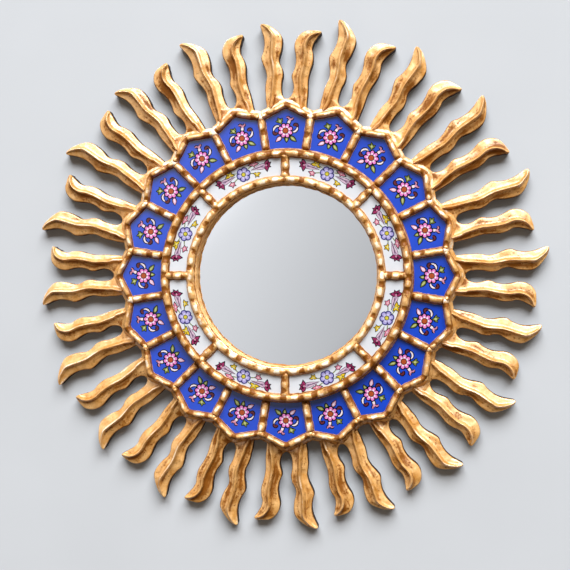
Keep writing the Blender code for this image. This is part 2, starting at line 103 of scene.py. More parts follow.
# Camera: as far as the photograph's perspective asks, and its frame in pixels
VIEW_DISTANCE = 1.3
VIEW_AZIMUTH = math.radians(6.12)
VIEW_ELEVATION = math.radians(0.35)
FRAME_PIXELS = 570
FOCAL_PIXELS = 1099.8
CENTRE_PIXEL = (287.7, 275.5)
SENSOR_WIDTH = 36.0

# Stage: the wall's width and its place behind the mirror, then the lamps in metres and watts. The key lamp
# leans off the mirror's axis, towards an angle counted clockwise from the top.
WALL_WIDTH = 6.0
WALL_GAP = 0.5 * MM
KEY_DISTANCE = 12.0
KEY_LEAN = math.radians(52.0)
KEY_CLOCK = math.radians(8.0)
KEY_POWER = 3200.0
KEY_SIZE = (12.0, 7.0)
BACK_PLACE = (-1.6, 3.0, 2.2)
BACK_POWER = 320.0
BACK_SIZE = (1.6, 1.6)

# Room: strength of its warm fill on matt surfaces and of its clear backdrop, their colours, and the
# middle of the window in reflections, as the x and z of a direction
FILL_STRENGTH = 0.19
BACKDROP_STRENGTH = 0.86
FILL_COLOUR = "#FFE6CC"
BACKDROP_COLOUR = "#FBFCFF"
WINDOW_MIDDLE = (0.34, 0.53)

# Each row crosses a ray: outer edge (u, v), ridge (u, v), inner edge (u, v), in millimetres, with
# v counted from the gable's outer apex. The first rows share the web between the two rays.
WEB_ROWS = 3
LONG_RAY = (
    (-22.5, -33.0, -17.5, -33.0, 0.0, -33.0),
    (-23.3, -7.0, -17.8, -7.0, 0.0, -7.0),
    (-24.6, 3.0, -16.2, 4.5, 0.0, 4.2),
    (-24.9, 9.3, -16.2, 9.3, -4.9, 8.0),
    (-25.5, 17.2, -15.8, 16.1, -6.4, 15.1),
    (-24.9, 24.5, -15.5, 24.5, -6.4, 24.5),
    (-24.2, 30.7, -15.0, 32.8, -5.0, 32.4),
    (-26.2, 39.1, -16.2, 41.2, -6.2, 40.1),
    (-29.8, 46.8, -18.0, 48.5, -9.6, 47.0),
    (-32.1, 54.3, -19.2, 54.8, -10.7, 53.7),
    (-30.2, 62.1, -19.4, 63.1, -8.6, 63.1),
    (-29.4, 71.5, -19.4, 73.6, -7.9, 73.1),
    (-31.0, 80.4, -20.2, 81.9, -9.4, 80.9),
    (-33.6, 87.2, -25.0, 88.7, -15.4, 87.7),
    (-35.6, 91.9, -30.0, 93.4, -24.2, 93.8),
    (-37.4, 95.5, -35.2, 96.5, -33.0, 97.4),
)
SHORT_RAY = (
    (22.5, -33.0, 17.5, -33.0, 0.0, -33.0),
    (23.4, -7.0, 18.0, -7.0, 0.0, -7.0),
    (24.0, 2.0, 18.0, 4.0, 0.0, 4.2),
    (24.6, 7.8, 16.8, 7.8, 4.9, 7.6),
    (24.8, 15.0, 16.4, 15.0, 7.6, 14.5),
    (24.6, 23.4, 16.2, 23.4, 7.4, 20.8),
    (25.0, 29.7, 16.5, 29.7, 5.0, 31.1),
    (26.8, 38.1, 18.1, 38.1, 7.8, 39.6),
    (29.2, 46.9, 19.5, 46.9, 9.1, 48.5),
    (29.0, 56.1, 20.0, 55.8, 8.2, 56.3),
    (27.4, 63.3, 19.1, 64.7, 6.3, 65.2),
    (29.0, 70.5, 20.4, 71.5, 7.3, 73.4),
    (31.2, 74.6, 23.8, 77.1, 11.6, 80.5),
    (33.0, 78.5, 28.0, 80.5, 18.0, 84.9),
    (34.6, 80.9, 32.4, 82.4, 27.0, 85.7),
    (35.8, 83.2, 35.1, 84.4, 34.4, 85.5),
)

# Mesh rows between two rows of a table, mesh columns across a ray and how they crowd at the ridge
ROWS_PER_STATION = 6
RAY_COLUMNS = 36
COLUMN_CROWDING = 1.5

# Share of a ray's rise that its broad flank makes, and half width of the rounded rib that stands out of it
FLANK_RISE = 0.44
RIB_HALF_WIDTH = 1.9 * MM

# Rows before a ray's end in which its tip closes, its ridge comes down, by a power, and its scoops run out
TIP_ROWS = 0.8
RIDGE_END_ROWS = 3.0
RIDGE_END_POWER = 0.8
SCOOP_END_ROWS = 2.0

# How a ray's root clears the base ring and stays below the petal frame: its depth there, how far inside the
# gables it starts to rise and how steeply. The sides are drawn out by any depth and then laid flat.
ROOT_CLEARANCE = 0.3 * MM
ROOT_DEPTH = 0.2 * MM
ROOT_REACH = 1.0 * MM
ROOT_SLOPE = 3.0
SIDE_DRAW = 0.05

# Wash on a ray: in the creases beside its rib, in the hollows of its flanks, at its root and on its rims
CREASE_OFFSET = 2.6 * MM
CREASE_WIDTH = 1.5 * MM
CREASE_WASH = 0.44
HOLLOW_WASH = 0.37
ROOT_WASH = 0.35
ROOT_WASH_REACH = 3.0 * MM
EDGE_TONE = 1.1

# Rubbing of a ray: half widths of the bare leaf on its rib and its edges, and how bare that is. Painted
# light:
# how much paler its upper sides are than its undersides, for a slope of 1 and up to the slope of a flank
RUBBED_RIB = 0.9 * MM
RUBBED_EDGE = 1.4 * MM
RUB = 0.7
UPPER_SIDE_PAINTED_LIGHT = 0.5
FLANK_SLOPE = 0.35

# How much longer than wide the streaks of the finish are, how far apart the two rays of a pair lie in their
# pattern, and the number that sets the rows of the inner flanks apart
STREAK = 5.0
STREAK_SHIFT = 0.1
INNER_FLANK = 100.0

# Hand work on a ray pair: the power by which its stray grows to the tips, the knife marks drawn for it,
# and how scoops and toning read them along a ray (marks for each row, first mark) and how strong they are
TIP_STRAY_POWER = 1.6
KNIFE_MARKS = 240
SCOOP_MARKS = (1.1, 3.0)
RAY_SCOOP = 0.45 * MM
TONING_MARKS = (0.5, 40.0)
TONING = 0.27

# Faces that look this far to the front are gilded; the others are the stained sides and back
FRONT_FACING = -0.25

# Where the bars of a petal are scooped, as shares of their length, and how far that strays
GABLE_CUTS = (0.08, 0.48, 0.91)
GABLE_CUT_STRAY = (-0.05, 0.05)
DIVIDER_CUTS = (0.45,)
DIVIDER_CUT_STRAY = (-0.14, 0.14)
BAND_BAR_CUTS = (0.30, 0.72)
BAND_CUT_STRAY = (-0.06, 0.06)

# How brown the mouldings are toned outside their scoops, then painted light and shade on the petals' outer
# foot and
# knobs: how pale that is at the top of the mirror, and how much browner it gets from the top to the bottom
BAR_TONE = 0.15
MID_TONE = 0.22
SIGHT_TONE = -0.12
TOP_PAINTED_LIGHT = -0.42
DOWNWARD_PAINTED_SHADE = 1.0

# Half of a moulding's section as carved, from its lip at the glass to its crown: (share of the half
# width, share of the rise)
MOULDING_SIDE = ((1.22, -0.1), (1.0, 0.03), (0.96, 0.33), (0.84, 0.61), (0.64, 0.83), (0.35, 0.96))
MOULDING_SECTION = (*MOULDING_SIDE, (0.0, 1.0), *((-x, y) for x, y in MOULDING_SIDE[::-1]))
MOULDING_PITCH = 0.8 * MM
RING_SEGMENTS = 256

# Mouldings: height of their lips over the glass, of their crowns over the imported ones, and how far those
# are planed down and drawn in to carry them
MOULDING_SEAT = 0.6 * MM
PETAL_PROUD = 1.2 * MM
BAND_PROUD = 0.8 * MM
PLANED = 3.8 * MM
BAND_LEAN = 1.6 * MM
RIM_DEPTH = 1.0 * MM
BODY_WASH = 0.35

# Rise of the dividers beside that of the mouldings they meet, and where the round mouldings lie
DIVIDER_RISE = 0.96
BAND_BAR_RISE = 0.94
MID_INSET = 1.4 * MM
SIGHT_OVERHANG = 0.3 * MM

# A moulding's knife strokes: their length, and how much they sway its line and change its width and height
KNIFE_WANDER = 13.0 * MM
KNIFE_SWELL = 11.0 * MM
WANDER_SHARE = 0.07
SWELL_SHARE = 0.03

# A bead's height at its ends and how much it rises to its middle, how a scoop narrows and sinks a
# moulding, and what is left of a bar's width and height at its rounded ends
BEAD_END = 0.94
BEAD_CROWN = 0.1
SCOOP_NARROWS = 0.06
SCOOP_SINKS = 0.2
END_WIDTH = 0.35
END_HEIGHT = 0.3

# How the hand varies each bead and scoop, least and most, as shares and slopes: the shape, then the stain
# in a scoop and the rubbed spot on a bead
BEAD_PLACE = (-0.12, 0.12)
SCOOP_DEPTH = (0.5, 1.2)
BEAD_WIDER = (-0.08, 0.08)
BEAD_HIGHER = (-0.08, 0.05)
BEAD_TILT = (-0.26, 0.26)
BEAD_SLOPE = (-0.16, 0.16)
STAIN_ASIDE = (-0.4, 0.4)
STAIN_SOAK = (0.45, 1.3)
RUB_PLACE = (0.35, 0.65)
RUB_LEAN = (-0.3, 0.3)
RUB_WEAR = (0.7, 1.4)

# Share of a moulding's rise that the brown at its foot climbs, and how brown it is: part wash, part painted
# shade
FOOT_RISE = 0.6
FOOT_WASH_AND_SHADE = 0.85

# Knobs: rise beside that of the mouldings and wash, least and most, how deep they sink and how bare their
# tops are
KNOB_RISE = (0.85, 1.0)
KNOB_WASH = (-0.75, -0.05)
KNOB_SUNK = 0.1
KNOB_RUB = 0.3

# Section of the hollow sweep outside the gables: (millimetres outside the gable's middle line, millimetres
# above the frame's bottom, wash)
FILLET_SECTION = (
    (0.8, 0.0, 0.3), (0.8, 10.6, 0.3), (2.6, 8.2, 0.55),
    (3.6, 6.4, 0.4), (4.6, 4.8, -0.25), (5.8, 3.2, -0.45),
    (7.2, 1.8, -0.35), (8.4, 0.8, -0.1), (8.4, 0.0, 0.3),
)

# Sections of the cove from the band ring down to the blue tiles, and of the throat from the sight
# moulding down to the mirror: (radius, height). Faces within the throat's width and rise are its own.
COVE_FOOT = PETAL_TILE_FACE + 0.05 * MM
COVE_SECTION = (
    (BAND_RADIUS + 1.4 * MM, COVE_FOOT),
    (BAND_RADIUS + 0.2 * MM, COVE_FOOT + 3.0 * MM),
    (BAND_RADIUS - 1.8 * MM, BAND_TILE_FACE + 1.5 * MM),
    (BAND_RADIUS - 3.0 * MM, COVE_FOOT),
)
COVE_WASH = 0.4
THROAT_RADIUS = SIGHT_RADIUS - 0.5 * MM
THROAT_SECTION = (
    (THROAT_RADIUS + 2.0 * MM, FRAME_BOTTOM),
    (THROAT_RADIUS + 2.6 * MM, BAND_TILE_FACE + 1.5 * MM),
    (THROAT_RADIUS + 0.9 * MM, BAND_TILE_FACE + 1.2 * MM),
    (THROAT_RADIUS, FRAME_BOTTOM + 1.0 * MM),
)
# The throat is toned paler than the rest of the gilding: painted light on its shaded inner wall
THROAT_PAINTED_LIGHT = -0.2
THROAT_WIDTH = 2.4 * MM
THROAT_RISE = 0.5 * MM

# Pictures on the tiles: radii of their middles, how far a spray strays and turns, and the paint's layers
SPRAY_RADIUS = 168.5 * MM
GARLAND_RADIUS = 126.8 * MM
SPRAY_STRAY = 0.5
SPRAY_TURN = 0.05
PAINT_LAYER = 0.02 * MM
PAINT_DEPTH = 0.05 * MM

# Span of values that most of a noise texture covers
NOISE_SPAN = {"From Min": 0.3, "From Max": 0.7}

# Paint that is seen through glass: its own gloss is lost, and the glass makes the reflections
UNDER_GLASS = {"Roughness": 0.5, "Specular IOR Level": 0.0, "Coat Roughness": 0.04, "Coat IOR": 1.6}


def length(name, description, default):
    """Size that a user can change, in metres."""
    return bpy.props.FloatProperty(
        name=name, description=description, default=default, unit="LENGTH", precision=4)


def linear(text):
    """Linear RGB of an sRGB hex colour."""
    parts = [int(text[i:i + 2], 16) / 255 for i in (1, 3, 5)]
    return tuple(p / 12.92 if p <= 0.04045 else ((p + 0.055) / 1.055) ** 2.4 for p in parts)


def colour(name, description, text):
    """Colour that a user can change, given as sRGB hex."""
    return bpy.props.FloatVectorProperty(
        name=name, description=description, default=linear(text), subtype="COLOR", min=0.0, max=1.0)


class SunburstSizes(bpy.types.PropertyGroup):
    """Sizes of the carving."""

    ray_edge: length("Ray edge", "Height of a ray's edges off the wall", 12.0 * MM)
    ray_web: length("Ray web", "Height of the hollow between the two rays of a pair", 12.0 * MM)
    ray_ridge: length("Ray ridge", "Height of a ray's ridge off the wall", 18.8 * MM)
    ray_arris: length("Ray arris", "Rounding of a ray's top edges", 0.8 * MM)
    gable_width: length("Gable width", "Width of the mouldings round the petals", 6.6 * MM)
    gable_bend: length("Gable bend", "Rounding of a gable's peak", 5.0 * MM)
    petal_divider: length("Petal divider", "Width of the mouldings between the petals", 8.2 * MM)
    band_divider: length("Band divider", "Width of the mouldings between the white tiles", 8.6 * MM)
    mid_width: length("Middle moulding", "Width of the moulding between the two rings", 8.4 * MM)
    sight_width: length("Sight moulding", "Width of the moulding round the mirror", 8.8 * MM)
    bead: length("Bead", "Length of one bead of the round mouldings", 18.6 * MM)
    knob: length("Knob", "Radius of the knobs where three mouldings meet", 4.6 * MM)
    end_rounding: length("End rounding", "Rounding of a moulding's ends", 2.5 * MM)
    scoop_reach: length("Scoop reach", "Half length of the scoops between two beads", 3.2 * MM)
    stain_spread: length("Stain spread", "How far the wash runs from the middle of a scoop", 3.6 * MM)
    stain_width: length("Stain width", "How far the wash runs to the sides of a scoop", 3.4 * MM)
    rub_length: length("Rub length", "Half length of the bright spot on a bead", 4.2 * MM)
    rub_width: length("Rub width", "Half width of the bright spot on a bead", 2.4 * MM)


class SunburstColours(bpy.types.PropertyGroup):
    """Colours of the finishes."""

    # The pale leaf also shows painted light: on upward-facing ray flanks, the top petals' feet and knobs, and
    # the throat
    leaf_pale: colour("Leaf, pale", "Gold leaf where it is rubbed bright", "#FFEED2")
    leaf_light: colour("Leaf, light", "Gold leaf of a lighter sheet", "#EABB7A")
    leaf_deep: colour("Leaf, deep", "Gold leaf of a deeper sheet", "#C08230")
    # The wash also shows painted shade: at the foot of the mouldings, on the lower petals' feet and knobs,
    # and on ray undersides
    wash: colour("Wash", "Brown wash in the hollows", "#804A0E")
    sides: colour("Sides", "Stained sides of the rays", "#1E130D")
    cobalt: colour("Cobalt", "Blue behind the petal tiles", "#1341BE")
    milk: colour("Milk", "White behind the band tiles", "#CED4DC")
    silver: colour("Silver", "Silvering behind the mirror", "#F2F4F6")
    base_wood: colour("Base wood", "Stained wood of the back", "#4A3122")
    board: colour("Board", "Hardboard of the backing panel", "#7A5A3C")
    card: colour("Card", "Greyboard behind the mirror", "#A89880")
    nickel: colour("Nickel", "Plated steel of the hanger and screws", "#C2BCB0")
    wall: colour("Wall", "Painted wall", "#C1C6CC")


def sizes():
    """The size settings of the scene."""
    return bpy.context.scene.sunburst_sizes


def colours():
    """The colour settings of the scene."""
    return bpy.context.scene.sunburst_colours


def clear_selection():
    """Leave nothing selected, so that the next operator acts on the new piece alone."""
    if bpy.context.mode != "OBJECT":
        bpy.ops.object.mode_set(mode="OBJECT")
    bpy.ops.object.select_all(action="DESELECT")


def pick(*pieces):
    """Select these pieces alone, the first of them active."""
    clear_selection()
    for piece in pieces:
        piece.select_set(True)
    bpy.context.view_layer.objects.active = pieces[0]


def named(name):
    """Name the piece that an operator has just added."""
    piece = bpy.context.active_object
    piece.name = name
    piece.data.name = name
    return piece


def read_vectors(items, key):
    """One vector of each vertex or face, such as its co, normal or center, as an array."""
    flat = np.empty(len(items) * 3)
    items.foreach_get(key, flat)
    return flat.reshape(-1, 3)


def read_points(piece):
    """Vertices of a piece as an array."""
    return read_vectors(piece.data.vertices, "co")


def write_points(piece, points):
    """Move the vertices of a piece, whose object stays at the origin."""
    piece.location = (0.0, 0.0, 0.0)
    piece.rotation_euler = (0.0, 0.0, 0.0)
    piece.scale = (1.0, 1.0, 1.0)
    piece.data.vertices.foreach_set("co", np.ascontiguousarray(points, dtype=np.float32).ravel())
    piece.data.update()


def place(u, v, h):
    """Points at u to the right, v up and h off the wall."""
    u, v, h = np.broadcast_arrays(u, v, h)
    return np.stack([u, -h, v], axis=-1).astype(float)


def turned(points, angle):
    """Points turned clockwise about the mirror's axis, seen from the front."""
    u, v = points[:, 0], points[:, 2]
    cosine, sine = math.cos(angle), math.sin(angle)
    return np.stack([u * cosine + v * sine, points[:, 1], v * cosine - u * sine], axis=-1)


def around(radius, angle, h):
    """Points at a radius and an angle clockwise from the top, h off the wall."""
    return place(radius * np.sin(angle), radius * np.cos(angle), h)


def turn_piece(piece, angle):
    """Turn a piece clockwise about the mirror's axis."""
    write_points(piece, turned(read_points(piece), angle))


def write_values(piece, name, values):
    """Keep one number or vector for each vertex, for a material or a later step to read."""
    values = np.asarray(values, dtype=np.float32)
    kind, key = ("FLOAT_VECTOR", "vector") if values.ndim == 2 else ("FLOAT", "value")
    attribute = piece.data.attributes.get(name) or piece.data.attributes.new(name, kind, "POINT")
    attribute.data.foreach_set(key, values.ravel())


def read_values(piece, name):
    """Numbers kept for each vertex."""
    values = np.empty(len(piece.data.vertices), dtype=np.float32)
    piece.data.attributes[name].data.foreach_get("value", values)
    return values.astype(float)


def join(name, pieces):
    """Join pieces into the first one, under a new name."""
    pick(*pieces)
    bpy.ops.object.join()
    return named(name)


@contextmanager
def editing(piece):
    """Edit mode on one piece, with all of its mesh selected."""
    pick(piece)
    bpy.ops.object.mode_set(mode="EDIT")
    bpy.ops.mesh.select_all(action="SELECT")
    yield
    bpy.ops.object.mode_set(mode="OBJECT")


def close_mesh(piece):
    """Merge doubled vertices and turn the faces outwards."""
    with editing(piece):
        bpy.ops.mesh.remove_doubles(threshold=MERGE_DISTANCE)
        bpy.ops.mesh.normals_make_consistent(inside=False)


def shade(piece):
    """Smooth the piece, with its sharper edges kept."""
    pick(piece)
    bpy.ops.object.shade_smooth_by_angle(angle=SMOOTH_ANGLE)


def joined_carving(name, shapes):
    """Join carved shapes into one closed, smoothed piece whose streaks follow its own coordinates."""
    carved = join(name, shapes)
    close_mesh(carved)
    write_values(carved, "grain", read_points(carved))
    shade(carved)
    return carved


def duplicate(piece, name):
    """Copy of a piece with its own mesh."""
    pick(piece)
    bpy.ops.object.duplicate(linked=False)
    return named(name)


def copy_node(node, name):
    """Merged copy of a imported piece, to be shaped further."""
    copy = duplicate(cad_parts[node], name)
    copy.parent = None
    for key in list(copy.keys()):
        del copy[key]
    copy.data.materials.clear()
    pick(copy)
    bpy.ops.mesh.customdata_custom_splitnormals_clear()
    close_mesh(copy)
    return copy


def dress(piece, slot, body, materials, *nodes):
    """Give a piece its finish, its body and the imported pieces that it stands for."""
    piece.data.materials.clear()
    for material in materials:
        piece.data.materials.append(material)
    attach(piece, body)
    if nodes:
        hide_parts(*nodes)


def smooth_curve(table, at):
    """Curve through the rows of a table, read at fractional rows."""
    last = len(table) - 1
    index = np.clip(np.floor(at).astype(int), 0, last - 1)
    t = (at - index)[:, None]
    before = table[np.maximum(index - 1, 0)]
    start, end = table[index], table[index + 1]
    after = table[np.minimum(index + 2, last)]
    slope = (end - before) * t
    bend = (2 * before - 5 * start + 4 * end - after) * t ** 2
    twist = (3 * start - before - 3 * end + after) * t ** 3
    return 0.5 * (2 * start + slope + bend + twist)


def bell(distance, width):
    """Smooth bump of height 1."""
    return np.exp(-(distance / width) ** 2)


def blot(distance, width):
    """Bump of height 1 with a flat top and soft sides."""
    return np.exp(-(distance / width) ** 4)


def link_inputs(tree, node, links):
    """Link a node's inputs to sockets, or to the first output that another node has in use."""
    for key, source in links.items():
        if isinstance(source, bpy.types.Node):
            source = next(socket for socket in source.outputs if socket.enabled)
        tree.links.new(source, node.inputs[key])


def add_node(tree, kind, settings=None, links=None):
    """Add a shader node of a kind, set its properties and inputs, and link its inputs."""
    node = tree.nodes.new("ShaderNode" + kind)
    for key, value in (settings or {}).items():
        if isinstance(key, str) and hasattr(node, key):
            setattr(node, key, value)
        else:
            node.inputs[key].default_value = value
    link_inputs(tree, node, links or {})
    return node


def pattern(millimetres):
    """Texture scale at which one feature of the pattern measures this much."""
    return 1.0 / (millimetres * MM)


def start_material(name, settings):
    """Material with one Principled shader; returns it with its tree, shader and Object coordinates."""
    material = bpy.data.materials.new(name)
    material.use_nodes = True
    tree = material.node_tree
    tree.nodes.clear()
    shader = add_node(tree, "BsdfPrincipled", settings)
    add_node(tree, "OutputMaterial", None, {"Surface": shader})
    where = add_node(tree, "TexCoord").outputs["Object"]
    return material, tree, shader, where


def rgba(value):
    """Colour with full alpha."""
    return (*value, 1.0)


def two_shades(tree, texture, base, low, high):
    """Colour that goes with a texture from a darker to a paler shade of a base, given as shares of it."""
    share = add_node(tree, "MapRange", NOISE_SPAN, {"Value": texture})
    dark = tuple(low * part for part in base)
    pale = tuple(min(1.0, high * part) for part in base)
    return add_node(tree, "Mix", {"data_type": "RGBA", 6: rgba(dark), 7: rgba(pale)}, {0: share})


def gilded_wood(name, varnished):
    """Gold leaf over gesso on carved wood, rubbed pale on the crowns, toned brown and varnished.

    The leaf is a satin metal, a little uneven in tone where sheets overlap. The wash is matt and brown,
    stays in the cuts and hollows and runs in streaks along the carving. The varnish puts broad white
    highlights on all that faces the light; without it the leaf is a soft even gold.
    """
    material, tree, shader, where = start_material(
        name, {"Specular IOR Level": 0.15, "Coat Roughness": 0.23, "Coat IOR": 1.6})
    leaf = add_node(
        tree, "TexNoise", {"Scale": pattern(11), "Detail": 5.0, "Roughness": 0.65}, {"Vector": where})
    tone = add_node(tree, "MapRange", {"From Min": 0.32, "From Max": 0.68}, {"Value": leaf})
    gold = add_node(
        tree, "Mix",
        {"data_type": "RGBA", 6: rgba(colours().leaf_deep), 7: rgba(colours().leaf_light)}, {0: tone})
    grain = add_node(tree, "Attribute", {"attribute_name": "grain"}).outputs["Vector"]
    smear = add_node(
        tree, "TexNoise", {"Scale": pattern(7), "Detail": 3.0, "Roughness": 0.55}, {"Vector": grain})
    streaks = add_node(
        tree, "MapRange", {"From Min": 0.25, "From Max": 0.75, "To Min": -0.5, "To Max": 0.5},
        {"Value": smear})
    flecks = add_node(tree, "TexNoise", {"Scale": pattern(2.4), "Detail": 2.0}, {"Vector": where})
    specks = add_node(
        tree, "MapRange", {"From Min": 0.52, "From Max": 0.72, "To Min": 0.0, "To Max": 0.36},
        {"Value": flecks})
    cut = add_node(tree, "Attribute", {"attribute_name": "wash"}).outputs["Fac"]
    flecked = add_node(tree, "Math", {"operation": "ADD"}, {0: cut, 1: specks})
    soaked = add_node(tree, "Math", {"operation": "ADD"}, {0: flecked, 1: streaks})
    amount = add_node(
        tree, "MapRange", {"interpolation_type": "SMOOTHSTEP", "From Min": 0.1, "From Max": 0.7},
        {"Value": soaked})
    # Low wash values show the pale leaf: rubbed crowns, and painted light where the pieces carry it in their
    # wash
    bare = add_node(
        tree, "MapRange",
        {"interpolation_type": "SMOOTHSTEP",
         "From Min": -0.9, "From Max": -0.3, "To Min": 1.0, "To Max": 0.0},
        {"Value": soaked})
    paled = add_node(tree, "Mix", {"data_type": "RGBA", 7: rgba(colours().leaf_pale)}, {0: bare, 6: gold})
    toned = add_node(tree, "Mix", {"data_type": "RGBA", 7: rgba(colours().wash)}, {0: amount, 6: paled})
    metal = add_node(tree, "MapRange", {"To Min": 0.16, "To Max": 0.02}, {"Value": amount})
    rough = add_node(tree, "MapRange", {"To Min": 0.5, "To Max": 0.66}, {"Value": amount})
    varnish = add_node(tree, "MapRange", {"To Min": varnished, "To Max": 0.12 * varnished},
        {"Value": amount})
    gesso = add_node(
        tree, "TexVoronoi", {"feature": "SMOOTH_F1", "Scale": pattern(6.5), "Smoothness": 0.5},
        {"Vector": where})
    bump = add_node(tree, "Bump", {"Strength": 0.36, "Distance": 0.9 * MM}, {"Height": gesso})
    link_inputs(tree, shader, {
        "Base Color": toned, "Metallic": metal, "Roughness": rough, "Coat Weight": varnish,
        "Normal": bump, "Coat Normal": bump})
    return material


def stained_wood(name, base, grain_mm):
    """Sawn softwood under a dark stain: matt, with the grain a little lighter along the cut."""
    material, tree, shader, where = start_material(name, {"Roughness": 0.72, "Specular IOR Level": 0.3})
    across, along = pattern(grain_mm), pattern(12 * grain_mm)
    stretch = add_node(tree, "Mapping", {"Scale": (across, across, along)}, {"Vector": where})
    grain = add_node(
        tree, "TexNoise", {"Scale": 1.0, "Detail": 5.0, "Roughness": 0.65}, {"Vector": stretch})
    bump = add_node(tree, "Bump", {"Strength": 0.4, "Distance": 0.3 * MM}, {"Height": grain})
    link_inputs(tree, shader, {"Base Color": two_shades(tree, grain, base, 0.6, 1.5), "Normal": bump})
    return material


def backed_glass(name, base, mottle):
    """Clear glass painted on its back: an even opaque colour under a hard gloss, brushed on by hand."""
    material, tree, shader, where = start_material(name, {**UNDER_GLASS, "Coat Weight": 1.0})
    brush = add_node(tree, "TexNoise", {"Scale": pattern(9), "Detail": 4.0}, {"Vector": where})
    link_inputs(tree, shader, {"Base Color": two_shades(tree, brush, base, 1.0 - mottle, 1.0 + mottle)})
    return material


def painted_enamel():
    """Enamel strokes of the flowers behind the same glass: each shape keeps its own colour."""
    material, tree, shader, where = start_material("painted_enamel", {**UNDER_GLASS, "Coat Weight": 0.4})
    stroke = add_node(tree, "Attribute", {"attribute_name": "paint"}).outputs["Color"]
    brush = add_node(tree, "TexNoise", {"Scale": pattern(1.5), "Detail": 2.0}, {"Vector": where})
    value = add_node(tree, "MapRange", {**NOISE_SPAN, "To Min": 0.66, "To Max": 0.86}, {"Value": brush})
    mixed = add_node(tree, "HueSaturation", None, {"Value": value, "Color": stroke})
    link_inputs(tree, shader, {"Base Color": mixed})
    return material


def silvered_glass():
    """Silvered float glass: a clear, slightly cool mirror with faint waves."""
    material, tree, shader, where = start_material(
        "silvered_glass", {"Base Color": rgba(colours().silver), "Metallic": 1.0, "Roughness": 0.03})
    wave = add_node(tree, "TexNoise", {"Scale": pattern(90), "Detail": 1.0}, {"Vector": where})
    bump = add_node(tree, "Bump", {"Strength": 0.1, "Distance": 0.2 * MM}, {"Height": wave})
    link_inputs(tree, shader, {"Normal": bump})
    return material


def pressed_board(name, base, fibre_mm, roughness):
    """Pressed fibre board: matt and brown, flecked with short fibres."""
    material, tree, shader, where = start_material(name, {"Roughness": roughness, "Specular IOR Level": 0.25})
    fibre = add_node(
        tree, "TexNoise", {"Scale": pattern(fibre_mm), "Detail": 6.0, "Roughness": 0.7}, {"Vector": where})
    bump = add_node(tree, "Bump", {"Strength": 0.3, "Distance": 0.2 * MM}, {"Height": fibre})
    link_inputs(tree, shader, {"Base Color": two_shades(tree, fibre, base, 0.7, 1.25), "Normal": bump})
    return material


def nickel_plate():
    """Nickel-plated mild steel, worn in handling: a warm grey metal with uneven polish."""
    material, tree, shader, where = start_material(
        "nickel_plate", {"Base Color": rgba(colours().nickel), "Metallic": 1.0})
    wear = add_node(
        tree, "TexNoise", {"Scale": pattern(3), "Detail": 4.0, "Roughness": 0.6}, {"Vector": where})
    rough = add_node(tree, "MapRange", {**NOISE_SPAN, "To Min": 0.22, "To Max": 0.45}, {"Value": wear})
    link_inputs(tree, shader, {"Roughness": rough})
    return material


def painted_wall():
    """Painted plaster: matt pale grey, a little uneven. Its back lets everything through."""
    material, tree, shader, where = start_material(
        "painted_wall", {"Roughness": 0.9, "Specular IOR Level": 0.2})
    blotch = add_node(tree, "TexNoise", {"Scale": pattern(180), "Detail": 2.0}, {"Vector": where})
    value = add_node(tree, "MapRange", {**NOISE_SPAN, "To Min": 0.98, "To Max": 1.02}, {"Value": blotch})
    tint = add_node(tree, "HueSaturation", {"Color": rgba(colours().wall)}, {"Value": value})
    link_inputs(tree, shader, {"Base Color": tint})
    side = add_node(tree, "NewGeometry").outputs["Backfacing"]
    clear = add_node(tree, "BsdfTransparent")
    mixed = add_node(tree, "MixShader", None, {0: side, 1: shader, 2: clear})
    output = next(node for node in tree.nodes if node.type == "OUTPUT_MATERIAL")
    link_inputs(tree, output, {"Surface": mixed})
    return material


def star_distance(u, v):
    """How far points of the top petal's sector lie outside the gables."""
    return (v - GABLE_APEX) * math.cos(GABLE_PITCH) + np.abs(u) * math.sin(GABLE_PITCH)


def ray_outline(stations, row, across):
    """Edge and ridge of a ray beside each point; inner edges meet in the web, and the tip closes round."""
    last = len(stations) - 1
    crotch = WEB_ROWS - 1
    outer = smooth_curve(stations[:, 0:2], row)
    ridge = smooth_curve(stations[:, 2:4], row)
    web = np.stack([np.zeros_like(row), np.interp(row, range(WEB_ROWS), stations[:WEB_ROWS, 5])], axis=1)
    free = stations[crotch:, 4:6]
    mirrored = free[1:2] * (-1.0, 1.0)
    inner = smooth_curve(np.vstack([mirrored, free]), np.maximum(row - crotch, 0.0) + 1.0)
    inner = np.where((row < crotch + HAIR)[:, None], web, inner)
    edge = np.where((across > 0)[:, None], inner, outer)
    closing = np.clip((row - last + TIP_ROWS) / TIP_ROWS, 0.0, 1.0)
    narrow = np.sqrt(np.clip(1.0 - closing ** 2, 0.0, 1.0))[:, None]
    return ridge + (edge - ridge) * narrow, ridge


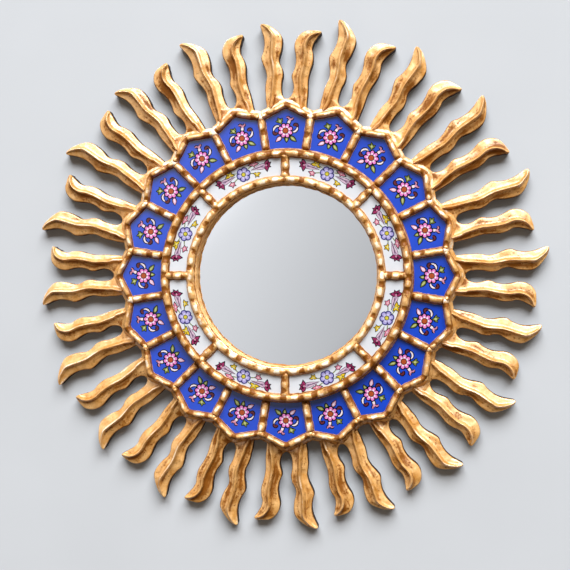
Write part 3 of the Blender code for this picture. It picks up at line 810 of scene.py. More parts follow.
def ray_sheet(name, table, side):
    """One wavy ray as a carved sheet: edge, hollow flank, rounded rib, hollow flank, edge."""
    size = sizes()
    last = len(table) - 1
    crotch = WEB_ROWS - 1
    clear_selection()
    bpy.ops.mesh.primitive_grid_add(
        x_subdivisions=RAY_COLUMNS, y_subdivisions=last * ROWS_PER_STATION, size=1.0)
    sheet = named(name)
    grid = read_points(sheet)
    across = np.sign(grid[:, 0]) * np.abs(grid[:, 0] * 2) ** COLUMN_CROWDING
    row = (grid[:, 1] + 0.5) * last
    in_web = (row < crotch + HAIR) & (across > 0)
    edge, ridge = ray_outline(np.array(table) * MM, row, across)
    climb = 1.0 - np.abs(across)
    spot = edge + (ridge - edge) * climb[:, None]

    taper = np.clip((last - row) / RIDGE_END_ROWS, 0.0, 1.0)
    crown = size.ray_edge + (size.ray_ridge - size.ray_edge) * taper ** RIDGE_END_POWER
    web_height = np.interp(row, [0, 1, crotch], [size.ray_web, size.ray_web, size.ray_edge])
    foot = np.where(in_web, web_height, size.ray_edge)
    flank = np.linalg.norm(ridge - edge, axis=1)
    off_ridge = (1.0 - climb) * flank
    rib = bell(off_ridge, RIB_HALF_WIDTH)
    height = foot + (crown - foot) * (FLANK_RISE * climb + (1.0 - FLANK_RISE) * rib)
    rim = (np.abs(across) > 1.0 - HAIR) & ~in_web
    height[rim] -= size.ray_arris

    root = np.sqrt(np.maximum((BASE_RADIUS + ROOT_CLEARANCE) ** 2 - spot[:, 0] ** 2, 0.0)) - GABLE_APEX
    spot[:, 1] = np.maximum(spot[:, 1], root)
    outside = star_distance(spot[:, 0], spot[:, 1] + GABLE_APEX)
    height = np.minimum(height, BASE_TOP - ROOT_DEPTH + np.maximum(outside + ROOT_REACH, 0.0) * ROOT_SLOPE)
    write_points(sheet, place(spot[:, 0], spot[:, 1] + GABLE_APEX, height))

    hollow = np.sin(math.pi * climb)
    crease = bell(off_ridge - CREASE_OFFSET, CREASE_WIDTH) * taper
    bare = np.maximum(bell(off_ridge, RUBBED_RIB), bell(climb * flank, RUBBED_EDGE))
    wash = np.maximum(CREASE_WASH * crease, HOLLOW_WASH * hollow) - RUB * bare
    wash = np.maximum(wash, ROOT_WASH * bell(np.maximum(outside, 0.0), ROOT_WASH_REACH))
    write_values(sheet, "wash", np.where(rim, EDGE_TONE, wash))
    apart = np.full_like(row, side * STREAK_SHIFT)
    write_values(sheet, "grain", np.stack([np.sign(across) * off_ridge, spot[:, 1] / STREAK, apart], axis=1))
    write_values(sheet, "reach", np.clip((row - crotch) / (last - crotch), 0.0, 1.0) * side)
    write_values(sheet, "row", row + INNER_FLANK * (across > 0))
    write_values(sheet, "scoop", hollow * np.clip((last - row) / SCOOP_END_ROWS, 0.0, 1.0))
    return sheet


def ray_blank():
    """Forked pair of the top petal: two carved sheets joined at the web, with sides and a flat back."""
    pair = join("ray_blank", [ray_sheet("long_ray", LONG_RAY, -1.0), ray_sheet("short_ray", SHORT_RAY, 1.0)])
    with editing(pair):
        bpy.ops.mesh.remove_doubles(threshold=SEAM_DISTANCE)
        bpy.ops.mesh.extrude_region_move(TRANSFORM_OT_translate={"value": (0.0, SIDE_DRAW, 0.0)})
        bpy.ops.transform.resize(value=(1.0, 0.0, 1.0), center_override=(0.0, 0.0, 0.0))
        bpy.ops.mesh.dissolve_limited(angle_limit=FLAT_ANGLE)
        bpy.ops.mesh.select_all(action="SELECT")
        bpy.ops.mesh.normals_make_consistent(inside=False)
    return pair


# How each hand-sawn ray pair strays from the even pattern, clockwise from the top petal: long ray's reach
# and lean, short ray's reach and lean at the tips, in millimetres, and how much browner it is toned
# The toning also paints light: the pairs on the left, from eight to ten o'clock, are toned paler than the
# rest
PAIR_STRAY = (
    (-5, 5, -2, 6, -0.16), (3, 3, 4, 4, -0.1), (4, 3, 6, 2, -0.08), (6, 2, 4, 1, 0.02),
    (3, 6, 0, 3, -0.08), (2, 3, -1, 1, -0.08), (-2, -1, -1, -3, -0.12), (0, -3, 1, -2, -0.2),
    (-2, -2, -3, -2, -0.12), (-3, -1, -3, -2, -0.08), (-3, -1, -1, 3, -0.05), (-1, 1, 1, -1, -0.05),
    (0, -1, 2, -1, -0.1), (2, -2, 3, -4, -0.26), (3, -4, -3, -3, -0.27), (-5, 0, -5, 0, -0.25),
    (-1, -3, -2, -1, -0.2), (2, -2, 1, -2, -0.18), (-2, -4, 0, -3, -0.12), (0, -1, -2, 3, -0.1),
)


def carve_by_hand(points, piece, stray, rng):
    """Let a ray pair stray from the even pattern, vary its scooped flanks and tone it unevenly."""
    long_reach, long_lean, short_reach, short_lean, tone = stray
    reach = read_values(piece, "reach")
    bend = np.abs(reach) ** TIP_STRAY_POWER
    is_long = reach < 0
    radial = np.where(is_long, long_reach, short_reach) * bend * MM
    sideways = np.where(is_long, long_lean, short_lean) * bend * MM
    u, height, v = points[:, 0], -points[:, 1], points[:, 2]
    radius = np.hypot(u, v)
    angle = np.arctan2(u, v) + sideways / radius
    row = read_values(piece, "row")
    marks = rng.uniform(-1.0, 1.0, KNIFE_MARKS)

    def marked(per_row, first):
        return np.interp(row * per_row + first, range(KNIFE_MARKS), marks)

    scoop = marked(*SCOOP_MARKS) * read_values(piece, "scoop")
    lifted = height + np.where(height > ON_WALL, RAY_SCOOP * scoop, 0.0)
    # The pair's tone carries painted light: the pairs on the left are paler
    write_values(piece, "wash", read_values(piece, "wash") + TONING * marked(*TONING_MARKS) + tone)
    return around(radius + radial, angle, lifted)


def two_tone(piece):
    """Front faces take the first material, the sides and the back the second."""
    behind = read_vectors(piece.data.polygons, "normal")[:, 1] >= FRONT_FACING
    piece.data.polygons.foreach_set("material_index", behind.astype(np.int32))


class SUNBURST_OT_carve_rays(bpy.types.Operator):
    """Carve the twenty forked ray pairs"""

    bl_idname = "sunburst.carve_rays"
    bl_label = "Carve rays"

    def execute(self, context):
        finish = [
            gilded_wood("gilded_wood", varnished=1.0),
            stained_wood("stained_sides", colours().sides, grain_mm=1.5),
        ]
        blank = ray_blank()
        rng = np.random.RandomState(GRAIN_SEED)
        for i in range(PETALS):
            pair = duplicate(blank, f"carved_rays_{i + 1:02d}")
            points = carve_by_hand(read_points(pair), pair, PAIR_STRAY[i], rng)
            write_points(pair, turned(points, math.tau * i / PETALS))
            # Painted light and shade: flanks that face up are toned paler and flanks that face down browner
            upward = read_vectors(pair.data.vertices, "normal")[:, 2]
            paled = UPPER_SIDE_PAINTED_LIGHT * np.clip(upward, -FLANK_SLOPE, FLANK_SLOPE)
            write_values(pair, "wash", read_values(pair, "wash") - paled)
            for name in ("reach", "row", "scoop"):
                pair.data.attributes.remove(pair.data.attributes[name])
            shade(pair)
            dress(pair, "gilt_wood", BODY, finish, f"ray_pair_{i + 1:02d}")
            two_tone(pair)
        bpy.data.objects.remove(blank)
        return {"FINISHED"}


def beaded(run, span, section, nodes, half_width, rise, tone, rng):
    """Section of a carved moulding at each point: offsets across and up, and the wash in its scoops."""
    size = sizes()
    crown = np.clip(section[:, 1], 0.0, 1.0)
    beside = section[:, 0] * half_width
    after = np.clip(np.searchsorted(nodes, run), 1, len(nodes) - 1)
    start, end = nodes[after - 1], nodes[after]
    share = np.clip((run - start) / (end - start), 0.0, 1.0)
    gap = np.maximum(np.minimum(run - start, end - run), 0.0)
    repeat = max(1, len(nodes) - 2)
    bead = after % repeat
    scoop = np.where(share < 0.5, after - 1, after) % repeat
    scooped = bell(gap, size.scoop_reach)
    free = 1.0 - scooped
    turns = math.tau * run / span

    depth = rng.uniform(*SCOOP_DEPTH, repeat)[scoop] * scooped
    wander = np.sin(turns * round(span / KNIFE_WANDER) + rng.uniform(0.0, math.tau))
    swell = np.sin(turns * round(span / KNIFE_SWELL) + rng.uniform(0.0, math.tau))
    wider = 1.0 + rng.uniform(*BEAD_WIDER, repeat)[bead] * free + SWELL_SHARE * swell
    higher = BEAD_END + BEAD_CROWN * np.sin(math.pi * share) - SWELL_SHARE * wander
    higher += rng.uniform(*BEAD_HIGHER, repeat)[bead] * free
    tilt = rng.uniform(*BEAD_TILT, repeat)[bead] * free
    slope = rng.uniform(*BEAD_SLOPE, repeat)[bead] * (share - 0.5) * free
    across = beside * (1.0 - SCOOP_NARROWS * depth) * wider + WANDER_SHARE * half_width * wander * crown
    up = section[:, 1] * rise * (1.0 - SCOOP_SINKS * depth) * higher + (across * tilt + rise * slope) * crown

    aside = rng.uniform(*STAIN_ASIDE, repeat)[scoop] * half_width
    soak = rng.uniform(*STAIN_SOAK, repeat)[scoop]
    soak *= blot(gap, size.stain_spread) * blot(beside - aside, size.stain_width)
    offset = (share - rng.uniform(*RUB_PLACE, repeat)[bead]) * (end - start)
    lean = rng.uniform(*RUB_LEAN, repeat)[bead] * half_width
    worn = rng.uniform(*RUB_WEAR, repeat)[bead]
    worn *= blot(offset, size.rub_length) * bell(beside - lean, size.rub_width)
    # The foot of a moulding is browned: partly a wash, partly painted shade where it meets the glass
    foot = np.clip(1.0 - section[:, 1] / FOOT_RISE, 0.0, 1.0) * (np.abs(section[:, 0]) <= 1.0)
    return across, up, np.maximum(soak, FOOT_WASH_AND_SHADE * foot) + tone - worn * crown


def subdivide_along(piece, runs_along, cuts):
    """Cut the edges that run along a moulding into shorter ones."""
    for face in piece.data.polygons:
        face.select = False
    for edge in piece.data.edges:
        edge.select = bool(runs_along(*edge.vertices))
    pick(piece)
    bpy.context.tool_settings.mesh_select_mode = (False, True, False)
    bpy.ops.object.mode_set(mode="EDIT")
    bpy.ops.mesh.subdivide(number_cuts=cuts)
    bpy.ops.object.mode_set(mode="OBJECT")


def follow(path, run, bend):
    """Spots and directions at each run along a path of straight legs whose corners are rounded."""
    path = np.array(path, dtype=float)
    legs = np.diff(path, axis=0)
    spans = np.linalg.norm(legs, axis=1)
    ways = legs / spans[:, None]
    ends = np.concatenate([[0.0], np.cumsum(spans)])
    leg = np.clip(np.searchsorted(ends, run) - 1, 0, len(spans) - 1)
    along = ways[leg]
    spot = path[leg] + along * (run - ends[leg])[:, None]
    for corner in range(1, len(path) - 1):
        share = (run - ends[corner] + bend) / (2 * bend)
        near = (share > 0.0) & (share < 1.0)
        t = share[near][:, None]
        middle = path[corner]
        before, after = middle - ways[corner - 1] * bend, middle + ways[corner] * bend
        spot[near] = (1 - t) ** 2 * before + 2 * t * (1 - t) * middle + t ** 2 * after
        turning = (1 - t) * (middle - before) + t * (after - middle)
        along[near] = turning / np.linalg.norm(turning, axis=1)[:, None]
    return spot, along


def plain_bar(name, columns, span):
    """Bar to be shaped, with the run along it and the place in the section of each vertex."""
    clear_selection()
    bpy.ops.mesh.primitive_cylinder_add(vertices=columns, radius=1.0, depth=1.0, end_fill_type="NGON")
    bar = named(name)
    ends = read_points(bar)[:, 2]
    subdivide_along(bar, lambda low, high: abs(ends[low] - ends[high]) > 0.5, int(span / MOULDING_PITCH))
    points = read_points(bar)
    turn = np.arctan2(points[:, 1], points[:, 0]) % math.tau
    column = np.round(turn / (math.tau / columns)).astype(int) % columns
    return bar, (points[:, 2] + 0.5) * span, column


def path_length(path):
    """Length of a path of straight legs."""
    return float(np.linalg.norm(np.diff(np.array(path), axis=0), axis=1).sum())


def lay(bar, path, run, across, height, mitred=False):
    """Bend a bar along a path, across to the right of the way; a mitred bar ends at its petal's sides."""
    spot, along = follow(path, run, sizes().gable_bend)
    spot = spot + across[:, None] * np.stack([along[:, 1], -along[:, 0]], axis=1)
    if mitred:
        side = spot[:, 1] * math.tan(math.pi / PETALS)
        spot[:, 0] = np.clip(spot[:, 0], -side, side)
    write_points(bar, place(spot[:, 0], spot[:, 1], height))


def bar_moulding(name, path, half_width, base, rise, cuts, rng, rounded=True):
    """Carved bar along a path of (u, v) points, scooped at shares of its length."""
    span = path_length(path)
    bar, run, column = plain_bar(name, len(MOULDING_SECTION), span)
    nodes = np.concatenate([[0.0], np.array(cuts) * span, [span]])
    section = np.array(MOULDING_SECTION)[column]
    across, up, wash = beaded(run, span, section, nodes, half_width, rise, BAR_TONE, rng)
    if rounded:
        inward = np.clip(np.minimum(run, span - run) / sizes().end_rounding, 0.0, 1.0)
        rounding = np.sqrt(1.0 - (1.0 - inward) ** 2)
        across = across * (END_WIDTH + (1.0 - END_WIDTH) * rounding)
        up = up * (END_HEIGHT + (1.0 - END_HEIGHT) * rounding)
    lay(bar, path, run, across, base + up)
    write_values(bar, "wash", wash)
    return bar


def fillet(name, path, tone):
    """Hollow sweep from a gable's outer foot down to the rays, brown in the crease beside the gable."""
    out, height, wash = np.array(FILLET_SECTION).T
    bar, run, column = plain_bar(name, len(FILLET_SECTION), path_length(path))
    lay(bar, path, run, -out[column] * MM, FRAME_BOTTOM + height[column] * MM, mitred=True)
    write_values(bar, "wash", wash[column] + tone)
    return bar


def knob(name, spot, base, rise, wash):
    """Low round knob that covers the ends of the bars that meet at a spot."""
    clear_selection()
    bpy.ops.mesh.primitive_uv_sphere_add(segments=24, ring_count=14, radius=1.0)
    ball = named(name)
    x, y, z = read_points(ball).T
    radius = sizes().knob
    height = base + np.maximum(z, -KNOB_SUNK) * rise
    write_points(ball, place(spot[0] + x * radius, spot[1] + y * radius, height))
    write_values(ball, "wash", wash - KNOB_RUB * np.clip(z, 0.0, 1.0) ** 2)
    return ball


def plain_ring(name, columns, cuts):
    """Ring to be shaped, with the angle and the place in the section of each vertex."""
    clear_selection()
    bpy.ops.mesh.primitive_torus_add(
        major_segments=RING_SEGMENTS, minor_segments=columns, major_radius=1.0, minor_radius=0.25)
    ring = named(name)

    def column_of(points):
        out = np.hypot(points[:, 0], points[:, 1]) - 1.0
        turn = np.arctan2(points[:, 2], out) % math.tau
        return np.round(turn / (math.tau / columns)).astype(int) % columns

    if cuts:
        first = column_of(read_points(ring))
        subdivide_along(ring, lambda a, b: first[a] == first[b], cuts)
    points = read_points(ring)
    angle = np.arctan2(points[:, 0], points[:, 1]) % math.tau
    return ring, angle, column_of(points)


def cove_ring(name, section, wash):
    """Plain turned ring with the given (radius, height) section."""
    ring, angle, column = plain_ring(name, len(section), 0)
    radius, height = np.array(section)[column].T
    write_points(ring, around(radius, angle, height))
    write_values(ring, "wash", np.full(len(angle), wash))
    return ring


def round_moulding(name, radius, half_width, base, rise, tone, rng):
    """Beaded ring about the mirror's axis, cut at even beads with a carver's unevenness."""
    girth = math.tau * radius
    count = round(girth / sizes().bead)
    cuts = round(girth / MOULDING_PITCH / RING_SEGMENTS) - 1
    ring, angle, column = plain_ring(name, len(MOULDING_SECTION), cuts)
    nodes = (np.arange(count) + rng.uniform(*BEAD_PLACE, count)) * girth / count
    nodes = np.concatenate([[nodes[-1] - girth], nodes, [nodes[0] + girth]])
    section = np.array(MOULDING_SECTION)[column]
    across, up, wash = beaded(angle * radius, girth, section, nodes, half_width, rise, tone, rng)
    write_points(ring, around(radius + across, angle, base + up))
    write_values(ring, "wash", wash)
    return ring


def lowered_body(node, name, top, lean):
    """Copy of a carved ring whose flat mouldings are planed down to carry the beaded ones."""
    body = copy_node(node, name)
    x, y, z = read_points(body).T
    height = np.minimum(-y, top)
    radius = np.hypot(x, z)
    at_rim = (height > top - RIM_DEPTH) & (radius > BAND_RADIUS - RIM_DEPTH)
    scale = (radius - np.where(at_rim, lean, 0.0)) / radius
    write_points(body, place(x * scale, z * scale, height))
    write_values(body, "wash", np.full(len(x), BODY_WASH))
    return body


def gable_lines(apex):
    """Ends of the lines round the top petal whose gable peaks at apex: peak, valley, divider's foot."""
    sine, cosine = math.sin(math.pi / PETALS), math.cos(math.pi / PETALS)
    valley = apex / (cosine + sine * math.tan(GABLE_PITCH))
    return (0.0, apex), (valley * sine, valley * cosine), (BAND_RADIUS * sine, BAND_RADIUS * cosine)


class SUNBURST_OT_carve_petal_frame(bpy.types.Operator):
    """Carve the gabled frame round the blue tiles, with its beaded mouldings"""

    bl_idname = "sunburst.carve_petal_frame"
    bl_label = "Carve petal frame"

    def execute(self, context):
        size = sizes()
        rng = np.random.RandomState(GRAIN_SEED + 1)
        base = PETAL_TILE_FACE + MOULDING_SEAT
        rise = PETAL_CREST + PETAL_PROUD - base
        low = rise * DIVIDER_RISE
        apex, valley, foot = gable_lines(TILE_APEX + size.gable_width / 2 / math.cos(GABLE_PITCH))
        gable = ((-valley[0], valley[1]), apex, valley)
        shapes = [lowered_body("petal_frame", "petal_body", PETAL_CREST - PLANED, 0.0)]
        for i in range(PETALS):
            turn = math.tau * i / PETALS
            gable_cuts = [cut + rng.uniform(*GABLE_CUT_STRAY) for cut in GABLE_CUTS]
            divider_cuts = [cut + rng.uniform(*DIVIDER_CUT_STRAY) for cut in DIVIDER_CUTS]
            # Painted light and shade: the fillets and knobs are paler at the top of the mirror and browner
            # towards the bottom
            top_light_bottom_shade = TOP_PAINTED_LIGHT + DOWNWARD_PAINTED_SHADE * (1.0 - math.cos(turn)) / 2
            parts = [
                bar_moulding("gable", gable, size.gable_width / 2, base, rise, gable_cuts, rng),
                fillet("fillet", gable, top_light_bottom_shade),
                bar_moulding("divider", (foot, valley), size.petal_divider / 2, base, low, divider_cuts, rng),
                knob("knob", valley, base, rise * rng.uniform(*KNOB_RISE), rng.uniform(*KNOB_WASH) + top_light_bottom_shade),
            ]
            for part in parts:
                turn_piece(part, turn)
            shapes += parts
        carved = joined_carving("carved_petal_frame", shapes)
        dress(carved, "gilt_wood", BODY, [bpy.data.materials["gilded_wood"]], "petal_frame")
        return {"FINISHED"}


class SUNBURST_OT_carve_band(bpy.types.Operator):
    """Carve the raised ring of the white tiles, with its beaded mouldings"""

    bl_idname = "sunburst.carve_band"
    bl_label = "Carve band ring"

    def execute(self, context):
        size = sizes()
        rng = np.random.RandomState(GRAIN_SEED + 2)
        base = BAND_TILE_FACE + MOULDING_SEAT
        rise = BAND_CREST + BAND_PROUD - base
        low = rise * BAND_BAR_RISE
        mid = BAND_RADIUS - MID_INSET - size.mid_width / 2
        sight = SIGHT_RADIUS - SIGHT_OVERHANG + size.sight_width / 2
        path = ((0.0, sight), (0.0, mid))
        shapes = [
            lowered_body("band_ring", "band_body", BAND_CREST - PLANED, BAND_LEAN),
            round_moulding("mid", mid, size.mid_width / 2, base, rise, MID_TONE, rng),
            round_moulding("sight", sight, size.sight_width / 2, base, rise, SIGHT_TONE, rng),
            cove_ring("cove", COVE_SECTION, COVE_WASH),
            cove_ring("throat", THROAT_SECTION, THROAT_PAINTED_LIGHT),
        ]
        for i in range(BAND_TILES):
            cuts = [cut + rng.uniform(*BAND_CUT_STRAY) for cut in BAND_BAR_CUTS]
            bar = bar_moulding("bar", path, size.band_divider / 2, base, low, cuts, rng, rounded=False)
            turn_piece(bar, math.tau * i / BAND_TILES)
            shapes.append(bar)
        carved = joined_carving("carved_band_ring", shapes)
        finish = [bpy.data.materials["gilded_wood"], gilded_wood("gilded_throat", varnished=0.0)]
        dress(carved, "gilt_wood", BODY, finish, "band_ring")
        x, y, z = read_vectors(carved.data.polygons, "center").T
        inner = (np.hypot(x, z) < SIGHT_RADIUS + THROAT_WIDTH) & (-y < BAND_TILE_FACE + THROAT_RISE)
        carved.data.polygons.foreach_set("material_index", inner.astype(np.int32))
        return {"FINISHED"}


class Brush:
    """Paints flat shapes on a tile, in millimetres about the middle of the picture."""

    def __init__(self):
        self.shapes = []

    def keep(self, shape, spots, paint, layer):
        """Keep one painted shape with its colour; layer counts up from the glass."""
        write_points(shape, place(spots[:, 0] * MM, spots[:, 1] * MM, layer * PAINT_LAYER))
        attribute = shape.data.color_attributes.new("paint", "FLOAT_COLOR", "POINT")
        attribute.data.foreach_set("color", np.tile(rgba(linear(paint)), len(spots)).astype(np.float32))
        self.shapes.append(shape)

    def dab(self, middle, size, angle, paint, layer, point=0.0):
        """Round or leaf-shaped dab; its length lies along angle and point draws in its far end."""
        clear_selection()
        bpy.ops.mesh.primitive_circle_add(vertices=18, radius=1.0, fill_type="NGON")
        shape = named("dab")
        spots = read_points(shape)
        along = spots[:, 0] * size[0] / 2
        beside = spots[:, 1] * size[1] / 2 * (1.0 - point * np.clip(spots[:, 0], -0.2, 1.0))
        cosine, sine = math.cos(math.radians(angle)), math.sin(math.radians(angle))
        x = middle[0] + along * cosine - beside * sine
        y = middle[1] + along * sine + beside * cosine
        self.keep(shape, np.stack([x, y], axis=1), paint, layer)

    def stroke(self, path, width, paint, layer, tail=0.3):
        """Curved stroke through the points of a path, thinning to a share of its width at both ends."""
        clear_selection()
        bpy.ops.mesh.primitive_grid_add(x_subdivisions=1, y_subdivisions=14, size=1.0)
        shape = named("stroke")
        spots = read_points(shape)
        share = spots[:, 1] + 0.5
        last = len(path) - 1
        rows = share * last
        step = 0.05
        table = np.array(path, dtype=float)
        middle = smooth_curve(table, rows)
        ahead = smooth_curve(table, np.minimum(rows + step, last))
        behind = smooth_curve(table, np.maximum(rows - step, 0.0))
        along = ahead - behind
        along /= np.linalg.norm(along, axis=1)[:, None]
        wide = width * (tail + (1.0 - tail) * np.sin(math.pi * share))
        beside = np.stack([along[:, 1], -along[:, 0]], axis=1)
        self.keep(shape, middle + beside * (spots[:, 0] * wide)[:, None], paint, layer)

    def outlined_dab(self, middle, size, angle, paint, layer, point, ink, line=1.1):
        """Dab with a dark line round it."""
        self.dab(middle, (size[0] + 2 * line, size[1] + 2 * line), angle, ink, layer, point)
        self.dab(middle, size, angle, paint, layer + 1, point)

    def outlined_stroke(self, path, width, paint, layer, ink, line=1.25):
        """Stroke with a dark line round it."""
        self.stroke(path, width + 2 * line, ink, layer, 0.5)
        self.stroke(path, width, paint, layer + 1)

    def finish(self, name):
        """All shapes as one thin skin of paint."""
        picture = join(name, self.shapes)
        with editing(picture):
            bpy.ops.mesh.extrude_region_move(TRANSFORM_OT_translate={"value": (0.0, PAINT_DEPTH, 0.0)})
            bpy.ops.mesh.select_all(action="SELECT")
            bpy.ops.mesh.normals_make_consistent(inside=False)
        return picture


def between(start, end, share):
    """Spot at a share of the way from one spot to another."""
    return (start[0] + share * (end[0] - start[0]), start[1] + share * (end[1] - start[1]))


def bearing(start, end):
    """Angle of the way from one spot to another, in degrees."""
    return math.degrees(math.atan2(end[1] - start[1], end[0] - start[0]))


def daisy(brush, middle, petals, radius, paint, glow, layer, ink):
    """Open flower seen from above: full petals with a pale inner half, their outlines close together."""
    long, wide = 0.76 * radius, math.tau * 0.66 * radius / petals
    outline = (long + 2.5, wide + 2.0)
    petal = (long, 0.86 * wide)
    pale = (0.46 * radius, 0.5 * wide)
    blunt = -0.35
    for i in range(petals):
        angle = 90.0 + 360.0 * (i + 0.5) / petals
        turn = math.radians(angle)
        tip = (middle[0] + radius * math.cos(turn), middle[1] + radius * math.sin(turn))
        spot = between(middle, tip, 0.62)
        brush.dab(spot, outline, angle, ink, layer, blunt)
        brush.dab(spot, petal, angle, paint, layer + 1, blunt)
        brush.dab(between(middle, tip, 0.48), pale, angle, glow, layer + 2)


def star_flower(brush, middle, tips, paint, glow, ink, layer, fullness=0.42):
    """Small flower seen from the side: pointed petals from its middle to each tip, dark at the tips."""
    for tip in tips:
        reach = math.dist(middle, tip)
        angle = bearing(middle, tip)
        wide = fullness * reach
        brush.dab(between(middle, tip, 0.5), (reach + 0.8, wide + 1.3), angle, ink, layer, 0.75)
        brush.dab(between(middle, tip, 0.38), (0.78 * reach, wide), angle, paint, layer + 1, 0.6)
    brush.dab(middle, (2.6, 2.0), 0.0, glow, layer + 2)


def trumpet(brush, throat, mouth, tips, paints, ink, layer):
    """Trumpet flower seen from the side: a pale ribbed tube that opens into a dark pointed mouth."""
    tube, edge, glow, rib = paints
    middle = between(mouth, throat, 0.42)
    size = (1.16 * math.dist(throat, mouth), 5.4)
    brush.outlined_dab(middle, size, bearing(mouth, throat), tube, layer, 0.8, ink, line=0.55)
    for tip in (tips[0], mouth, tips[-1]):
        brush.stroke([throat, middle, between(mouth, tip, 0.4)], 0.8, rib, layer + 2)
    star_flower(brush, mouth, tips, edge, glow, ink, layer + 3, fullness=0.5)


def blue_picture():
    """Flower spray of a blue tile: a pink daisy with a bud, a bell, two curls and leaves."""
    brush = Brush()
    pink, white, red, rose = "#F28CDA", "#FCEEFA", "#6A2A38", "#CF86A8"
    leaf, lime, ink = "#76843E", "#C3CC88", "#05040C"
    for path, width, paint in (
        ([(8.0, -1.4), (11.0, -0.8), (13.4, 1.6), (14.0, 4.4)], 1.9, white),
        ([(14.0, 4.0), (13.2, 6.8), (10.8, 7.0), (9.8, 5.2)], 2.3, red),
        ([(-6.8, 5.0), (-10.4, 5.0), (-13.2, 2.6), (-14.0, -0.8)], 1.9, white),
        ([(-14.0, -0.4), (-13.2, -3.4), (-10.8, -3.7), (-9.8, -2.0)], 2.3, red),
        ([(4.4, 12.8), (3.2, 15.2), (0.6, 15.3)], 1.8, rose),
        ([(5.6, 12.6), (7.4, 13.6), (8.8, 15.2)], 1.6, rose),
        ([(2.8, 7.4), (3.8, 10.0), (5.0, 12.8)], 3.0, white),
    ):
        brush.outlined_stroke(path, width, paint, 1, ink)
    brush.dab((5.3, 12.8), (3.8, 2.2), 60, "#E9A7C6", 4, 0.3)
    for middle, angle in (((-9.0, 10.6), 188), ((-8.2, 12.6), 126), ((-5.2, 12.2), 62), ((-6.0, 9.6), 300)):
        brush.outlined_dab(middle, (4.4, 2.6), angle, leaf, 1, 0.7, ink)
    brush.dab((-6.9, 11.0), (3.4, 2.6), 130, lime, 4)
    brush.outlined_dab((-7.8, -10.2), (7.6, 3.8), 222, "#F0B2DA", 1, 0.55, ink)
    brush.dab((-7.4, -9.8), (5.0, 1.8), 222, white, 4, 0.4)
    brush.outlined_dab((1.6, -10.4), (5.4, 3.4), 268, leaf, 1, 0.5, ink)
    brush.dab((1.6, -10.4), (3.6, 1.7), 268, lime, 4, 0.5)
    brush.outlined_dab((9.4, -9.6), (8.4, 3.8), 322, leaf, 1, 0.5, ink)
    brush.dab((9.1, -9.4), (6.0, 2.0), 322, lime, 4, 0.5)
    daisy(brush, (0.0, 0.0), 8, 8.2, pink, white, 5, ink)
    brush.dab((0.0, 0.0), (7.4, 7.4), 0.0, "#2A120C", 8)
    brush.dab((0.0, 0.0), (5.6, 5.6), 0.0, "#B8562A", 9)
    return brush.finish("blue_picture")


# Petal tips of the small flowers on the left and right of a garland, above and below its middle
LEFT_ABOVE = (-14.4, 6.2), ((-21.6, 5.2), (-18.4, 10.2), (-11.0, 10.4), (-9.4, 3.4))
LEFT_BELOW = (-17.0, -4.4), ((-22.0, -3.6), (-18.6, -8.6), (-13.6, -7.6), (-12.6, -3.4), (-17.2, -0.8))
RIGHT_ABOVE = (14.4, 7.4), ((7.8, 8.0), (11.6, 11.0), (17.8, 10.8), (20.8, 7.0), (14.6, 3.4))
RIGHT_BELOW = (15.4, -4.4), ((20.6, -4.4), (17.0, -8.8), (12.4, -8.0), (11.0, -2.6))


def white_picture():
    """Flower garland of a white tile: a lilac flower, small yellow and pink ones and two trumpets."""
    brush = Brush()
    magenta, blush, pale, rib, ink = "#9C2E62", "#DC94B6", "#DCC2DA", "#8A6A8E", "#1E0E24"
    yellow, amber, pink, olive = "#E8C82C", "#3A3010", "#EC90AC", "#7E8C50"
    for side in (-1, 1):
        tips = [(side * x, y) for x, y in ((31.0, 10.4), (34.2, 6.0), (33.4, 0.2), (28.2, -4.8))]
        trumpet(brush, (side * 10.0, 1.6), (side * 28.2, 2.8), tips, (pale, magenta, blush, rib), ink, 1)
        brush.stroke([(side * 6.0, 4.0), (side * 9.5, 5.2), (side * 13.0, 6.4)], 1.2, olive, 1)
        brush.stroke([(side * 6.0, -1.0), (side * 10.0, -2.2), (side * 15.0, -3.8)], 1.2, olive, 1)
    star_flower(brush, *LEFT_ABOVE, yellow, "#F0E68C", amber, 4)
    star_flower(brush, *LEFT_BELOW, pink, "#F8CEDA", ink, 4)
    star_flower(brush, *RIGHT_ABOVE, pink, "#F8CEDA", ink, 4)
    star_flower(brush, *RIGHT_BELOW, yellow, "#F0E68C", amber, 4)
    daisy(brush, (0.0, 0.0), 6, 7.4, "#B4AEEC", "#D6D2F6", 7, "#3E3A86")
    brush.dab((0.0, 0.0), (5.6, 5.6), 0.0, "#3A4226", 10)
    brush.dab((0.0, 0.0), (4.0, 4.0), 0.0, "#D8CC44", 11)
    return brush.finish("white_picture")


def face_material(node, material):
    """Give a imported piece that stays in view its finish."""
    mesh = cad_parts[node].data
    mesh.materials.clear()
    mesh.materials.append(material)


class SUNBURST_OT_paint_petal_tiles(bpy.types.Operator):
    """Glaze the blue tiles and paint a flower spray on each"""

    bl_idname = "sunburst.paint_petal_tiles"
    bl_label = "Paint petal tiles"

    def execute(self, context):
        glass = backed_glass("cobalt_glass", colours().cobalt, mottle=0.06)
        enamel = painted_enamel()
        rng = np.random.RandomState(GRAIN_SEED + 3)
        picture = blue_picture()
        for i in range(PETALS):
            face_material(f"petal_tile_{i + 1:02d}", glass)
            copy = duplicate(picture, f"painted_spray_{i + 1:02d}")
            points = turned(read_points(copy), rng.uniform(-SPRAY_TURN, SPRAY_TURN))
            aside = rng.uniform(-SPRAY_STRAY, SPRAY_STRAY) * MM
            outward = rng.uniform(-SPRAY_STRAY, SPRAY_STRAY) * MM
            points += (aside, -PETAL_TILE_FACE, SPRAY_RADIUS + outward)
            write_points(copy, turned(points, math.tau * i / PETALS))
            dress(copy, "blue_glass", BODY, [enamel])
        bpy.data.objects.remove(picture)
        return {"FINISHED"}


